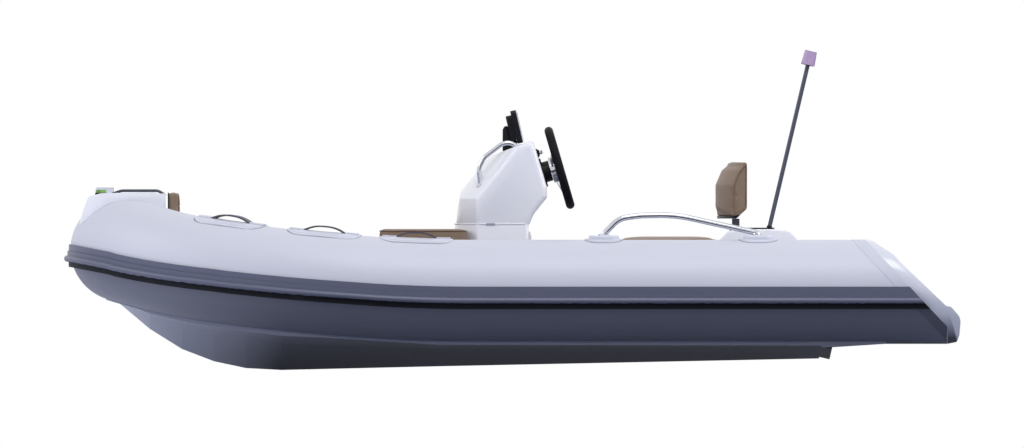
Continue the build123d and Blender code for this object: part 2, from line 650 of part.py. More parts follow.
PLOTTER_X = 28.9
PLOTTER_Z = 895.0
PLOTTER_TILT = 12.9
PLOTTER_W = 250.0
PLOTTER_H = 142.0
PLOTTER_T = 24.0
HOUSING_T = 24.0
P_TILT = radians(PLOTTER_TILT)
SCREEN_PLANE = Plane(origin=(PLOTTER_X, 0, PLOTTER_Z), x_dir=(0, 1, 0),
                     z_dir=(cos(P_TILT), 0, sin(P_TILT)))
with BuildPart() as plotter:
    with BuildSketch(SCREEN_PLANE):
        RectangleRounded(PLOTTER_W, PLOTTER_H, 14)
    extrude(amount=-PLOTTER_T)
    with BuildSketch(SCREEN_PLANE.offset(-PLOTTER_T)):
        RectangleRounded(PLOTTER_W - 30, PLOTTER_H - 34, 18)
    extrude(amount=-HOUSING_T)
plotter.part.label = "plotter"
export_step(plotter.part, "parts/plotter.step")

STAND_W = 90.0
# x and z from the screen's centre; the plotter and the console trim the stand
STAND = [(-71.0, -155.0), (-71.0, -13.0), (-63.0, 0.0), (-49.0, 2.0), (-29.0, -15.0),
         (-1.0, -35.0), (-15.0, -95.0), (-15.0, -155.0)]
with BuildPart() as plotter_stand:
    with BuildSketch(Plane.XZ):
        Polygon(*[(PLOTTER_X + x, PLOTTER_Z + z) for x, z in STAND], align=None)
    extrude(amount=STAND_W / 2, both=True)
    add(console_upper.part, mode=Mode.SUBTRACT)
    add(plotter.part, mode=Mode.SUBTRACT)
plotter_stand.part.label = "plotter_stand"
export_step(plotter_stand.part, "parts/plotter_stand.step")

# ---- Helm and steering wheel ------------------------------------------------------------
WHEEL_PLANE = Plane(origin=(WHEEL_X, 0, WHEEL_Z), x_dir=(0, 1, 0), z_dir=(cos(TILT), 0, sin(TILT)))
SHAFT_R = 9.0
SHAFT_GAP = 0.05
HUB_GAP = 1.0
HUB_BACK = -38.0      # hub's forward face, from the rim's plane
SHAFT_LEN = 30.0
BEZEL_R = 62.0
BEZEL_T = 7.0
HELM_DEPTH = 120.0    # longer than the way to the dash, trimmed by it
with BuildPart() as helm:
    with BuildSketch(WHEEL_PLANE.offset(HUB_BACK - HUB_GAP)):
        Circle(HELM_R)
    extrude(amount=-HELM_DEPTH)
    with BuildSketch(DASH_PLANE):
        with Locations((0, DASH_PLANE.to_local_coords(WHEEL_PLANE.origin).Y)):
            Circle(BEZEL_R)
    extrude(amount=BEZEL_T)
    add(console_upper.part, mode=Mode.SUBTRACT)
    with BuildSketch(WHEEL_PLANE):
        Circle(SHAFT_R + SHAFT_GAP)
    extrude(amount=HUB_BACK - SHAFT_LEN - HUB_GAP, mode=Mode.SUBTRACT)
helm.part.label = "helm"
export_step(helm.part, "parts/helm.step")

WHEEL_AXIS = Axis(WHEEL_PLANE.origin, WHEEL_PLANE.z_dir)
SPOKE_W = 34.0
SPOKE_T = 6.0
RIM_MID = WHEEL_R - RIM_R
HUB_MID = HUB_BACK + HUB_T / 2
CAP_RIM = 12.0        # hub left bare round the cap
CAP_H = 12.0
with BuildPart() as wheel_rim:
    with BuildSketch(Plane(origin=WHEEL_PLANE.origin, x_dir=WHEEL_PLANE.x_dir,
                           z_dir=WHEEL_PLANE.y_dir)):
        with Locations((RIM_MID, 0)):
            Circle(RIM_R)
    revolve(axis=WHEEL_AXIS)
wheel_rim.part.label = "wheel_rim"
export_step(wheel_rim.part, "parts/wheel_rim.step")

with BuildPart() as wheel_spokes:
    with BuildSketch(WHEEL_PLANE.offset(HUB_BACK)):
        Circle(HUB_R)
    extrude(amount=HUB_T)
    for spoke in range(SPOKES):
        radial = WHEEL_PLANE.x_dir.rotate(WHEEL_AXIS, spoke * 360 / SPOKES - 90)
        with BuildSketch(Plane(WHEEL_PLANE.origin, radial, radial.cross(WHEEL_PLANE.z_dir))):
            Polygon(
                (SHAFT_R, HUB_MID - SPOKE_T / 2), (HUB_R, HUB_MID - SPOKE_T / 2),
                (RIM_MID, -SPOKE_T / 2), (RIM_MID, SPOKE_T / 2), (HUB_R, HUB_MID + SPOKE_T / 2),
                (SHAFT_R, HUB_MID + SPOKE_T / 2), align=None,
            )
        extrude(amount=SPOKE_W / 2, both=True)
    with BuildSketch(WHEEL_PLANE.offset(HUB_BACK)):
        Circle(SHAFT_R)
    extrude(amount=-SHAFT_LEN)
    add(wheel_rim.part, mode=Mode.SUBTRACT)
wheel_spokes.part.label = "wheel_spokes"
export_step(wheel_spokes.part, "parts/wheel_spokes.step")

with BuildPart() as wheel_cap:
    with BuildSketch(WHEEL_PLANE.offset(HUB_BACK + HUB_T)):
        Circle(HUB_R - CAP_RIM)
    extrude(amount=CAP_H, taper=30)
wheel_cap.part.label = "wheel_cap"
export_step(wheel_cap.part, "parts/wheel_cap.step")

# ---- Front seat on the console ------------------------------------------------------------
FRONT_BOX_AFT_X = -160.0
FRONT_PAD_AFT_X = -189.0
FRONT_LID_Z = FRONT_SEAT_TOP - FRONT_PAD_T - LID_T


def clear_console(gap):
    """Cut the console's plan outline, grown by a gap, out of the plan being drawn."""
    plan = Sketch() + CONSOLE_FACE
    add(offset(plan, amount=gap, kind=Kind.INTERSECTION, mode=Mode.PRIVATE), mode=Mode.SUBTRACT)


with BuildSketch() as console_face:
    console_plan(0, CONSOLE_REACH)
CONSOLE_FACE = console_face.sketch

with BuildPart() as front_seat_box:
    with BuildSketch(Plane.XY.offset(DECK_Z)):
        block(FRONT_SEAT_X + 4, FRONT_BOX_AFT_X, FRONT_SEAT_HALF - 4)
        clear_console(SEAT)
    extrude(amount=FRONT_LID_Z - SEAT - DECK_Z)
    with BuildSketch(Plane.XY.offset(DECK_Z)):
        block(FRONT_SEAT_X + 4 + WALL, FRONT_BOX_AFT_X - WALL, FRONT_SEAT_HALF - 4 - WALL)
        clear_console(WALL)
    extrude(amount=FRONT_LID_Z, mode=Mode.SUBTRACT)
front_seat_box.part.label = "front_seat_box"
export_step(front_seat_box.part, "parts/front_seat_box.step")

with BuildPart() as front_lid:
    with BuildSketch(Plane.XY.offset(FRONT_LID_Z)):
        block(FRONT_SEAT_X, FRONT_PAD_AFT_X, FRONT_SEAT_HALF)
        clear_console(LID_GAP)
    extrude(amount=LID_T - SEAT)
front_lid.part.label = "front_lid"
export_step(front_lid.part, "parts/front_lid.step")

with BuildPart() as front_cushion:
    with BuildSketch(Plane.XY.offset(FRONT_LID_Z + LID_T)):
        block(FRONT_SEAT_X + 2, FRONT_PAD_AFT_X, FRONT_SEAT_HALF - 2)
        clear_console(LID_GAP)
    extrude(amount=FRONT_PAD_T)
front_cushion.part.label = "front_cushion"
export_step(front_cushion.part, "parts/front_cushion.step")

# ---- Helm seat, aft moulding and backrest ---------------------------------------------------
HELM_LID_Z = HELM_SEAT_TOP - HELM_PAD_T - LID_T
BULKHEAD_X = HELM_PAD_AFT_X + 4
with BuildPart() as helm_seat_box:
    with BuildSketch(Plane.XY.offset(DECK_Z)):
        block(HELM_SEAT_X + 4, HELM_BOX_AFT_X - 4, HELM_SEAT_HALF - 4)
        locker_half = HELM_SEAT_HALF - 4 - WALL
        block(HELM_SEAT_X + 4 + WALL, BULKHEAD_X - WALL / 2, locker_half, Mode.SUBTRACT)
        block(BULKHEAD_X + WALL / 2, HELM_BOX_AFT_X - 4 - WALL, locker_half, Mode.SUBTRACT)
    extrude(amount=HELM_LID_Z - SEAT - DECK_Z)
helm_seat_box.part.label = "helm_seat_box"
export_step(helm_seat_box.part, "parts/helm_seat_box.step")

with BuildPart() as helm_lid:
    with BuildSketch(Plane.XY.offset(HELM_LID_Z)):
        block(HELM_SEAT_X, HELM_PAD_AFT_X - LID_GAP / 2, HELM_SEAT_HALF)
    extrude(amount=LID_T - SEAT)
helm_lid.part.label = "helm_lid"
export_step(helm_lid.part, "parts/helm_lid.step")

with BuildPart() as helm_cushion:
    with BuildSketch(Plane.XY.offset(HELM_LID_Z + LID_T)):
        block(HELM_SEAT_X + 1, HELM_PAD_AFT_X - LID_GAP, HELM_SEAT_HALF - 2)
    extrude(amount=HELM_PAD_T)
helm_cushion.part.label = "helm_cushion"
export_step(helm_cushion.part, "parts/helm_cushion.step")

AFT_TOP = 458.0
# Fore end: aft of the bulkhead, down from the top, rounding; aft end: forward of the box's end
AFT_FORE = [(0.0, 46.0, 12.0), (38.0, 8.0, 30.0), (84.0, 0.0, 100.0)]
AFT_END = [(112.0, 0.0, 120.0), (40.0, 6.0, 40.0), (0.0, 44.0, 12.0)]
with BuildPart() as aft_moulding:
    with BuildSketch(Plane.XZ):
        with BuildLine():
            FilletPolyline(
                (BULKHEAD_X, HELM_LID_Z),
                *[(BULKHEAD_X + aft, AFT_TOP - down) for aft, down, _ in AFT_FORE],
                *[(HELM_BOX_AFT_X - fore, AFT_TOP - down) for fore, down, _ in AFT_END],
                (HELM_BOX_AFT_X, HELM_LID_Z), radius=[row[2] for row in AFT_FORE + AFT_END],
            )
            Line((HELM_BOX_AFT_X, HELM_LID_Z), (BULKHEAD_X, HELM_LID_Z))
        make_face()
    extrude(amount=HELM_SEAT_HALF, both=True)
aft_moulding.part.label = "aft_moulding"
export_step(aft_moulding.part, "parts/aft_moulding.step")

REST_HALF = 260.0
REST_LOW = 503.0
REST_RIM_Z = 728.0    # foot of the rim along the top
REST_TOP = 746.0
REST_BACK_X = 996.0
REST_FRONT_X = 862.0
REST_BOW = 74.0       # how far the middle stands forward of the ends
REST_RIM = 53.0       # how far the rim stands back from the front
# Slopes of the front under the rim: height where each leaves the front, run aft and rise
REST_SLOPES = [(645.0, 28.0, 64.0), (687.7, 25.0, 19.0)]
REST_HEEL = (43.0, 33.0)      # chamfer of the lower back edge: along x, along z


def rest_plan(shift=0.0, back=REST_BACK_X):
    """Draw the backrest's plan: a bowed front between flat ends, and a flat back."""
    with BuildLine() as outline:
        ThreePointArc(
            (REST_FRONT_X + REST_BOW + shift, REST_HALF), (REST_FRONT_X + shift, 0),
            (REST_FRONT_X + REST_BOW + shift, -REST_HALF),
        )
        Polyline(
            (REST_FRONT_X + REST_BOW + shift, -REST_HALF), (back, -REST_HALF),
            (back, REST_HALF), (REST_FRONT_X + REST_BOW + shift, REST_HALF),
        )
    return make_face(outline.edges())


with BuildPart() as backrest:
    with BuildSketch(Plane.XY.offset(REST_LOW)):
        rest_plan()
    extrude(amount=REST_RIM_Z - REST_LOW)
    for knee_z, run, rise in REST_SLOPES:
        slope = Vector(run, 0, rise)
        height = REST_TOP - REST_LOW
        with BuildSketch(Plane.XY.offset(REST_LOW)):
            rest_plan((REST_LOW - knee_z) * run / rise, REST_BACK_X + 2 * height)
        extrude(amount=slope.length * height / rise, dir=slope.normalized(), mode=Mode.INTERSECT)
    with BuildSketch(Plane.XY.offset(REST_RIM_Z)):
        rest_plan(REST_RIM)
    extrude(amount=REST_TOP - REST_RIM_Z)
    with BuildSketch(Plane.XZ):
        Polygon((REST_BACK_X, REST_LOW), (REST_BACK_X, REST_LOW + REST_HEEL[1]),
                (REST_BACK_X - REST_HEEL[0], REST_LOW), align=None)
    extrude(amount=REST_HALF, both=True, mode=Mode.SUBTRACT)
backrest.part.label = "backrest"
export_step(backrest.part, "parts/backrest.step")

POST_X = (932.0, 964.0)
POST_Y = 120.0
POST_HALF = 22.0
with BuildPart() as backrest_posts:
    with Locations((POST_X[0], -POST_Y, REST_LOW - SEAT), (POST_X[0], POST_Y, REST_LOW - SEAT)):
        Box(POST_X[1] - POST_X[0], 2 * POST_HALF, REST_LOW - SEAT - AFT_TOP + 30,
            align=(Align.MIN, Align.CENTER, Align.MAX))
    add(aft_moulding.part, mode=Mode.SUBTRACT)
backrest_posts.part.label = "backrest_posts"
export_step(backrest_posts.part, "parts/backrest_posts.step")

# ---- Light pole ---------------------------------------------------------------------------
POLE_FOOT = (1089.0, -230.0, AFT_TOP)
POLE_TOP = (1254.0, -230.0, 1156.0)
POLE_R = 9.0
LAMP_R = 30.0
LAMP_H = 60.0
POLE_BASE = (128.0, 46.0)     # oval foot: length and width
POLE_BASE_T = 6.0
POLE_BASE_SHIFT = 41.0        # its centre, forward of the pole
SOCKET_WALL = 2.5
SOCKET_H = 14.0
POLE_SEAT = 4.0       # floor of the socket
POLE_DIR = (Vector(*POLE_TOP) - Vector(*POLE_FOOT)).normalized()
with BuildPart() as pole_base:
    with BuildSketch(Plane.XY.offset(AFT_TOP)):
        with Locations((POLE_FOOT[0] - POLE_BASE_SHIFT, POLE_FOOT[1])):
            SlotOverall(*POLE_BASE)
    extrude(amount=POLE_BASE_T)
    with BuildSketch(Plane(origin=Vector(*POLE_FOOT), z_dir=POLE_DIR)):
        Circle(POLE_R + SOCKET_WALL)
    extrude(amount=SOCKET_H)
    add(aft_moulding.part, mode=Mode.SUBTRACT)
    with BuildSketch(Plane(origin=Vector(*POLE_FOOT) + POLE_DIR * POLE_SEAT, z_dir=POLE_DIR)):
        Circle(POLE_R + SEAT)
    extrude(amount=SOCKET_H, mode=Mode.SUBTRACT)
pole_base.part.label = "pole_base"
export_step(pole_base.part, "parts/pole_base.step")

with BuildPart() as light_pole:
    with BuildSketch(Plane(origin=Vector(*POLE_FOOT) + POLE_DIR * (POLE_SEAT + SEAT),
                           z_dir=POLE_DIR)):
        Circle(POLE_R)
    extrude(amount=(Vector(*POLE_TOP) - Vector(*POLE_FOOT)).length - POLE_SEAT - SEAT)
light_pole.part.label = "light_pole"
export_step(light_pole.part, "parts/light_pole.step")

with BuildPart() as pole_lamp:
    with BuildSketch(Plane(origin=POLE_TOP, z_dir=POLE_DIR)):
        Circle(LAMP_R)
    extrude(amount=LAMP_H, taper=3.8)
pole_lamp.part.label = "pole_lamp"
export_step(pole_lamp.part, "parts/pole_lamp.step")

# ---- Stern cleats: flush plates with a recess round the horn --------------------------------
CLEAT_X = (985.0, 1085.0)
CLEAT_Y = 330.0
CLEAT_W = 34.0
CLEAT_T = 6.0
CLEAT_POCKET = 3.0    # depth of the recess
CLEAT_WALL = 7.0
with BuildPart() as stern_cleats:
    with BuildSketch(Plane.XY.offset(AFT_TOP)):
        with Locations((sum(CLEAT_X) / 2, -CLEAT_Y)):
            SlotOverall(CLEAT_X[1] - CLEAT_X[0], CLEAT_W)
    extrude(amount=CLEAT_T)
    with BuildSketch(Plane.XY.offset(AFT_TOP + CLEAT_T)):
        with Locations((sum(CLEAT_X) / 2, -CLEAT_Y)):
            SlotOverall(CLEAT_X[1] - CLEAT_X[0] - 2 * CLEAT_WALL, CLEAT_W - 2 * CLEAT_WALL)
    extrude(amount=-CLEAT_POCKET, mode=Mode.SUBTRACT)
    mirror(about=Plane.XZ)
stern_cleats.part.label = "stern_cleats"
export_step(stern_cleats.part, "parts/stern_cleats.step")

# ---- Patches, lifting handles and side rails on the tubes -----------------------------------
PATCH_T = 4.0
HANDLE_X = (-1217.0, -817.0, -416.0)
HANDLE_PATCH = (310.0, 176.0)
RAIL_FOOT_X = (388.0, 1043.0)
RAIL_PATCH = (162.0, 150.0)
PATCHES = [(x, HANDLE_PATCH) for x in HANDLE_X] + [(x, RAIL_PATCH) for x in RAIL_FOOT_X]
with BuildPart() as patches:
    for x, (length, width) in PATCHES:
        with BuildSketch(axis_frame(x).offset(TUBE_R / 2)):
            RectangleRounded(length, width, 60)
        extrude(amount=TUBE_R)
    add(tube_solid(TUBE_R + PATCH_T), mode=Mode.INTERSECT)
    add(CLEAR_TUBES[0], mode=Mode.SUBTRACT)
    mirror(about=Plane.XZ)
patches.part.label = "patches"
export_step(patches.part, "parts/patches.step")
PATCH_TOP = tube_solid(TUBE_R + PATCH_T + SEAT)

STRAP_T = 4.0
STRAP_W = 46.0
STRAP_RISE = 21.0
STRAP_HALF = 86.0     # half the span between the feet
STRAP_SLOPE = 42.0    # run of each end's slope
STRAP_FOOT = 12.0
STRAP_SEAT = 0.8      # below the strap's centre line at its feet
STRAP_BENDS = (10.0, 140.0, 140.0, 10.0)
with BuildPart() as handles:
    for x in HANDLE_X:
        frame = axis_frame(x)
        side_plane = Plane(origin=frame.origin, x_dir=frame.x_dir, z_dir=-frame.y_dir)
        low = TUBE_R + PATCH_T + STRAP_SEAT
        with BuildSketch(side_plane):
            with BuildLine():
                FilletPolyline(
                    (-STRAP_HALF - STRAP_FOOT, low), (-STRAP_HALF, low),
                    (-STRAP_HALF + STRAP_SLOPE, low + STRAP_RISE),
                    (STRAP_HALF - STRAP_SLOPE, low + STRAP_RISE),
                    (STRAP_HALF, low), (STRAP_HALF + STRAP_FOOT, low), radius=STRAP_BENDS,
                )
            trace(line_width=STRAP_T)
        extrude(amount=STRAP_W / 2, both=True)
    add(PATCH_TOP, mode=Mode.SUBTRACT)
    mirror(about=Plane.XZ)
handles.part.label = "handles"
export_step(handles.part, "parts/handles.step")

BASE_SIZE = (127.0, 92.0)
BASE_TOP = CREST + 19.0
with BuildPart() as rail_bases:
    for x in RAIL_FOOT_X:
        with BuildSketch(Plane(origin=(x, -TUBE_Y, TUBE_Z + TUBE_R / 2))):
            RectangleRounded(*BASE_SIZE, 30)
        extrude(amount=BASE_TOP - TUBE_Z - TUBE_R / 2)
    fillet(rail_bases.edges().group_by(Axis.Z)[-1], radius=8)
    add(PATCH_TOP, mode=Mode.SUBTRACT)
    mirror(about=Plane.XZ)
rail_bases.part.label = "rail_bases"
export_step(rail_bases.part, "parts/rail_bases.step")

SIDE_RAIL_R = 12.5
FLANGE_R = 24.0
FLANGE_T = 4.0
# x, height above the bases and rounding of the rail's corners
SIDE_RAIL = [(385.0, -6.0, 0.0), (391.0, 8.0, 14.0), (452.0, 71.0, 90.0), (540.0, 84.0, 400.0),
             (690.0, 87.0, 600.0), (1036.0, 11.0, 14.0), (1044.0, -6.0, 0.0)]
with BuildPart() as side_rails:
    with BuildLine() as rail_path:
        FilletPolyline(*[(x, -TUBE_Y, BASE_TOP + rise) for x, rise, _ in SIDE_RAIL],
                       radius=[row[2] for row in SIDE_RAIL[1:-1]])
    with BuildSketch(Plane(origin=rail_path.line @ 0, z_dir=rail_path.line % 0)):
        Circle(SIDE_RAIL_R)
    sweep(path=rail_path.wire())
    for x in RAIL_FOOT_X:
        with BuildSketch(Plane(origin=(x, -TUBE_Y, BASE_TOP))):
            Circle(FLANGE_R)
        extrude(amount=FLANGE_T)
    add(rail_bases.part, mode=Mode.SUBTRACT)
    mirror(about=Plane.XZ)
side_rails.part.label = "side_rails"
export_step(side_rails.part, "parts/side_rails.step")
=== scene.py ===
"""Dress a 3.8 m inflatable boat: coated fabric collar, moulded glassfibre, padded vinyl seats.

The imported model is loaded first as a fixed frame. +X runs aft, +Y to starboard, +Z up, in metres.
"""
import logging
from dataclasses import dataclass
from enum import Enum
from functools import cache
from math import asin, atan2, copysign, cos, pi, radians, sin, tan
from typing import Callable, Iterable, Sequence

import bmesh
import bpy
from bmesh.types import BMEdge, BMesh, BMVert
from bpy.types import Material, Mesh, Node, NodeSocket, NodeTree, Object
from mathutils import Matrix, Vector
from mathutils.bvhtree import BVHTree
from mathutils.kdtree import KDTree


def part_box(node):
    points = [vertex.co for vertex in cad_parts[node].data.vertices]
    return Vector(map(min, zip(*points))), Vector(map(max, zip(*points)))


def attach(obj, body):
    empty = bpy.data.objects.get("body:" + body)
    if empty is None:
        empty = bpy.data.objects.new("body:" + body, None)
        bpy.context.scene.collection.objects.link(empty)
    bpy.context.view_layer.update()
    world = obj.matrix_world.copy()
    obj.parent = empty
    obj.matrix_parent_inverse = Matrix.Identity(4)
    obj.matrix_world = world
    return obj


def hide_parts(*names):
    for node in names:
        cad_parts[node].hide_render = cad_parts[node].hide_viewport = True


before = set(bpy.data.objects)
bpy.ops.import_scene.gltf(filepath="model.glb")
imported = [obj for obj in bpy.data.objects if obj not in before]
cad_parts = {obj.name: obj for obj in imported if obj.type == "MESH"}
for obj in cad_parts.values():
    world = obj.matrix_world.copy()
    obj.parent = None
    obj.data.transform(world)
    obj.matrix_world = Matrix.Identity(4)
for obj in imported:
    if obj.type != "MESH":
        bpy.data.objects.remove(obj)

LOG = logging.getLogger("boat")
MM = 0.001
ROOT = "boat"
UP, DOWN = Vector((0, 0, 1)), Vector((0, 0, -1))
AFT, FORE = Vector((1, 0, 0)), Vector((-1, 0, 0))
STARBOARD = Vector((0, 1, 0))
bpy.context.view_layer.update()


# ---- Colours and finishes -------------------------------------------------------------
def linear(hex_code: str) -> tuple[float, float, float, float]:
    """Turn an sRGB hex colour to linear values.

    Args:
        hex_code: six hex digits after a hash sign.

    Returns:
        Linear red, green, blue and an alpha of one.
    """
    values = [int(hex_code[i:i + 2], 16) / 255 for i in (1, 3, 5)]
    flat = [v / 12.92 if v <= 0.04045 else ((v + 0.055) / 1.055) ** 2.4 for v in values]
    return (*flat, 1.0)


def add_node(
    tree: NodeTree,
    kind: str,
    settings: dict[str | int, object] | None = None,
    links: dict[str | int, NodeSocket] | None = None,
) -> Node:
    """Add a shader node.

    Args:
        tree: the tree that receives the node.
        kind: the node's type without its ShaderNode prefix.
        settings: attribute names, or input names and numbers, and their values.
        links: input names or numbers, and the sockets that feed them.

    Returns:
        The new node.
    """
    node = tree.nodes.new("ShaderNode" + kind)
    for key, value in (settings or {}).items():
        if isinstance(key, str) and hasattr(node, key):
            setattr(node, key, value)
        else:
            node.inputs[key].default_value = value
    for key, socket in (links or {}).items():
        tree.links.new(socket, node.inputs[key])
    return node


def add_ramp(tree: NodeTree, value: NodeSocket, start: float = 0.0, end: float = 1.0,
             low: float = 0.0, high: float = 1.0) -> Node:
    """Add a node that maps one range of a value to another, and holds beyond its ends."""
    return add_node(tree, "MapRange", {
        "From Min": start, "From Max": end, "To Min": low, "To Max": high}, {"Value": value})


def per_metre(size_mm: float) -> float:
    """Give the texture scale whose pattern repeats at a size in millimetres."""
    return 1000.0 / size_mm


@dataclass(frozen=True)
class Finish:
    """A finish with its base colour, gloss, and the grain that its making leaves.

    Attributes:
        name: the material and how its surface was made.
        colour: sRGB hex.
        coat: weight of a clear coat, and coat_rough its roughness.
        grain_mm: size of the fine grain, and grain_depth how deep it reads in millimetres.
        mottle: how much the colour wanders over areas of the size mottle_mm.
        smudge_mm: size of the slow change in gloss.
        specular: strength of the reflection, a half being plain.
    """

    name: str
    colour: str
    roughness: float = 0.5
    metallic: float = 0.0
    coat: float = 0.0
    coat_rough: float = 0.12
    grain_mm: float = 4.0
    grain_depth: float = 0.05
    mottle: float = 0.04
    mottle_mm: float = 160.0
    smudge_mm: float = 45.0
    sheen: float = 0.0
    specular: float = 0.5

    def build(self) -> Material:
        """Make the material, once for each name."""
        found = bpy.data.materials.get(self.name)
        if found:
            return found
        material = bpy.data.materials.new(self.name)
        material.use_nodes = True
        tree = material.node_tree
        tree.nodes.clear()
        place = add_node(tree, "TexCoord").outputs["Object"]
        shader = add_node(tree, "BsdfPrincipled", {
            "Metallic": self.metallic, "Coat Weight": self.coat,
            "Coat Roughness": self.coat_rough, "Sheen Weight": self.sheen, "IOR": 1.5,
            "Specular IOR Level": self.specular,
        })
        self.colour_in(tree, place, shader)
        self.gloss_in(tree, place, shader)
        self.relief_in(tree, place, shader)
        add_node(tree, "OutputMaterial", links={"Surface": shader.outputs["BSDF"]})
        return material

    def colour_in(self, tree: NodeTree, place: NodeSocket, shader: Node) -> None:
        """Let the base colour wander a little around its value."""
        clouds = add_node(tree, "TexNoise", {"Scale": per_metre(self.mottle_mm), "Detail": 3.0},
                          {"Vector": place})
        base = linear(self.colour)
        low = tuple(c * (1 - self.mottle) for c in base[:3]) + (1.0,)
        high = tuple(min(1.0, c * (1 + self.mottle)) for c in base[:3]) + (1.0,)
        mix = add_node(tree, "Mix", {"data_type": "RGBA", 6: low, 7: high},
                       {0: clouds.outputs["Fac"]})
        tree.links.new(mix.outputs[2], shader.inputs["Base Color"])

    def gloss_in(self, tree: NodeTree, place: NodeSocket, shader: Node) -> None:
        """Vary the roughness slightly, as handling and moulding do."""
        smudge = add_node(tree, "TexNoise", {"Scale": per_metre(self.smudge_mm), "Detail": 4.0},
                          {"Vector": place})
        spread = add_ramp(tree, smudge.outputs["Fac"], low=max(0.03, self.roughness - 0.05),
                          high=self.roughness + 0.06)
        tree.links.new(spread.outputs["Result"], shader.inputs["Roughness"])

    def bump(self, tree: NodeTree, height: NodeSocket, strength: float, depth_mm: float,
             under: NodeSocket | None = None) -> NodeSocket:
        """Turn a height to a bent normal, over another one where it is given."""
        links = {"Height": height} if under is None else {"Height": height, "Normal": under}
        return add_node(tree, "Bump", {"Strength": strength, "Distance": depth_mm * MM},
                        links).outputs["Normal"]

    def relief_in(self, tree: NodeTree, place: NodeSocket, shader: Node) -> None:
        """Add the fine grain as bump."""
        grain = add_node(tree, "TexNoise", {"Scale": per_metre(self.grain_mm), "Detail": 5.0},
                         {"Vector": place})
        relief = self.bump(tree, grain.outputs["Fac"], strength=0.5, depth_mm=self.grain_depth)
        tree.links.new(relief, shader.inputs["Normal"])


@dataclass(frozen=True)
class Woven(Finish):
    """Coated cloth or webbing: two crossed waves of thread under the coating.

    Attributes:
        thread_mm: spacing of the threads, and thread_depth how deep they read.
        wave_turn: the distance, at a scale of one, over which a wave texture repeats.
    """

    thread_mm: float = 3.0
    thread_depth: float = 0.12
    wave_turn: float = 6.3

    def relief_in(self, tree: NodeTree, place: NodeSocket, shader: Node) -> None:
        """Cross two sets of threads, drawn coarser than real so that they show."""
        waves = [
            add_node(tree, "TexWave", {
                "wave_type": "BANDS", "bands_direction": direction, "Distortion": 0.6,
                "Detail": 1.0, "Scale": per_metre(self.thread_mm) / self.wave_turn,
            }, {"Vector": place}).outputs["Fac"]
            for direction in ("X", "Z")
        ]
        both = add_node(tree, "Math", {"operation": "MAXIMUM"}, {0: waves[0], 1: waves[1]})
        relief = self.bump(tree, both.outputs[0], strength=0.35, depth_mm=self.thread_depth)
        tree.links.new(relief, shader.inputs["Normal"])


@dataclass(frozen=True)
class Vinyl(Finish):
    """Soft upholstery vinyl with an embossed pebble grain.

    Attributes:
        pebble_mm: size of a pebble, and pebble_depth how deep it reads.
        wrinkle_mm: size of the slow wrinkles under them, and wrinkle_depth their depth.
    """

    pebble_mm: float = 5.0
    pebble_depth: float = 0.35
    wrinkle_mm: float = 70.0
    wrinkle_depth: float = 3.0

    def relief_in(self, tree: NodeTree, place: NodeSocket, shader: Node) -> None:
        """Emboss pebbles, drawn coarser than real, over slow wrinkles."""
        pebbles = add_node(tree, "TexVoronoi", {
            "feature": "DISTANCE_TO_EDGE", "Scale": per_metre(self.pebble_mm),
        }, {"Vector": place})
        ridge = add_ramp(tree, pebbles.outputs["Distance"], end=0.25)
        wrinkle = add_node(tree, "TexNoise", {"Scale": per_metre(self.wrinkle_mm), "Detail": 2.0},
                           {"Vector": place})
        fine = self.bump(tree, ridge.outputs["Result"], strength=0.3, depth_mm=self.pebble_depth)
        slow = self.bump(tree, wrinkle.outputs["Fac"], strength=0.35,
                         depth_mm=self.wrinkle_depth, under=fine)
        tree.links.new(slow, shader.inputs["Normal"])


@dataclass(frozen=True)
class Fade(Finish):
    """A finish whose colour changes to a second one below a height.

    Attributes:
        low_colour: sRGB hex of the lower part.
        fade_z: heights between which the colours mix, in metres.
        aft_x: where the upper colour also starts again, measured aft along a leaning line.
        lean: how far that line leans aft for each metre of depth.
    """

    low_colour: str = "#3c3f4b"
    fade_z: tuple[float, float] = (0.05, 0.09)
    aft_x: tuple[float, float] = (9.0, 9.1)
    lean: float = 0.337

    def colour_in(self, tree: NodeTree, place: NodeSocket, shader: Node) -> None:
        """Mix the two colours over a short band of height."""
        axes = add_node(tree, "SeparateXYZ", links={"Vector": place})
        line = add_node(tree, "Math", {"operation": "MULTIPLY_ADD", 1: self.lean},
                        {0: axes.outputs["Z"], 2: axes.outputs["X"]})
        high = add_ramp(tree, axes.outputs["Z"], *self.fade_z)
        behind = add_ramp(tree, line.outputs[0], *self.aft_x)
        part = add_node(tree, "Math", {"operation": "MAXIMUM"},
                        {0: high.outputs["Result"], 1: behind.outputs["Result"]})
        mix = add_node(tree, "Mix", {
            "data_type": "RGBA", 6: linear(self.low_colour), 7: linear(self.colour),
        }, {0: part.outputs[0]})
        tree.links.new(mix.outputs[2], shader.inputs["Base Color"])


@dataclass(frozen=True)
class Clear(Finish):
    """Tinted polycarbonate or glass that lets some light through."""

    through: float = 0.35

    def build(self) -> Material:
        """Make the lens material with its share of transmission."""
        material = super().build()
        shader = material.node_tree.nodes["Principled BSDF"]
        shader.inputs["Transmission Weight"].default_value = self.through
        return material


# Grain that parts of one making share: wavy gelcoat, drawn tube, moulded plastic.
WAVY = {"grain_mm": 30, "grain_depth": 0.08}
DRAWN = {"metallic": 1.0, "grain_mm": 2.5, "grain_depth": 0.01, "mottle": 0.03}
MOULDED = {"grain_mm": 3.0, "grain_depth": 0.05}


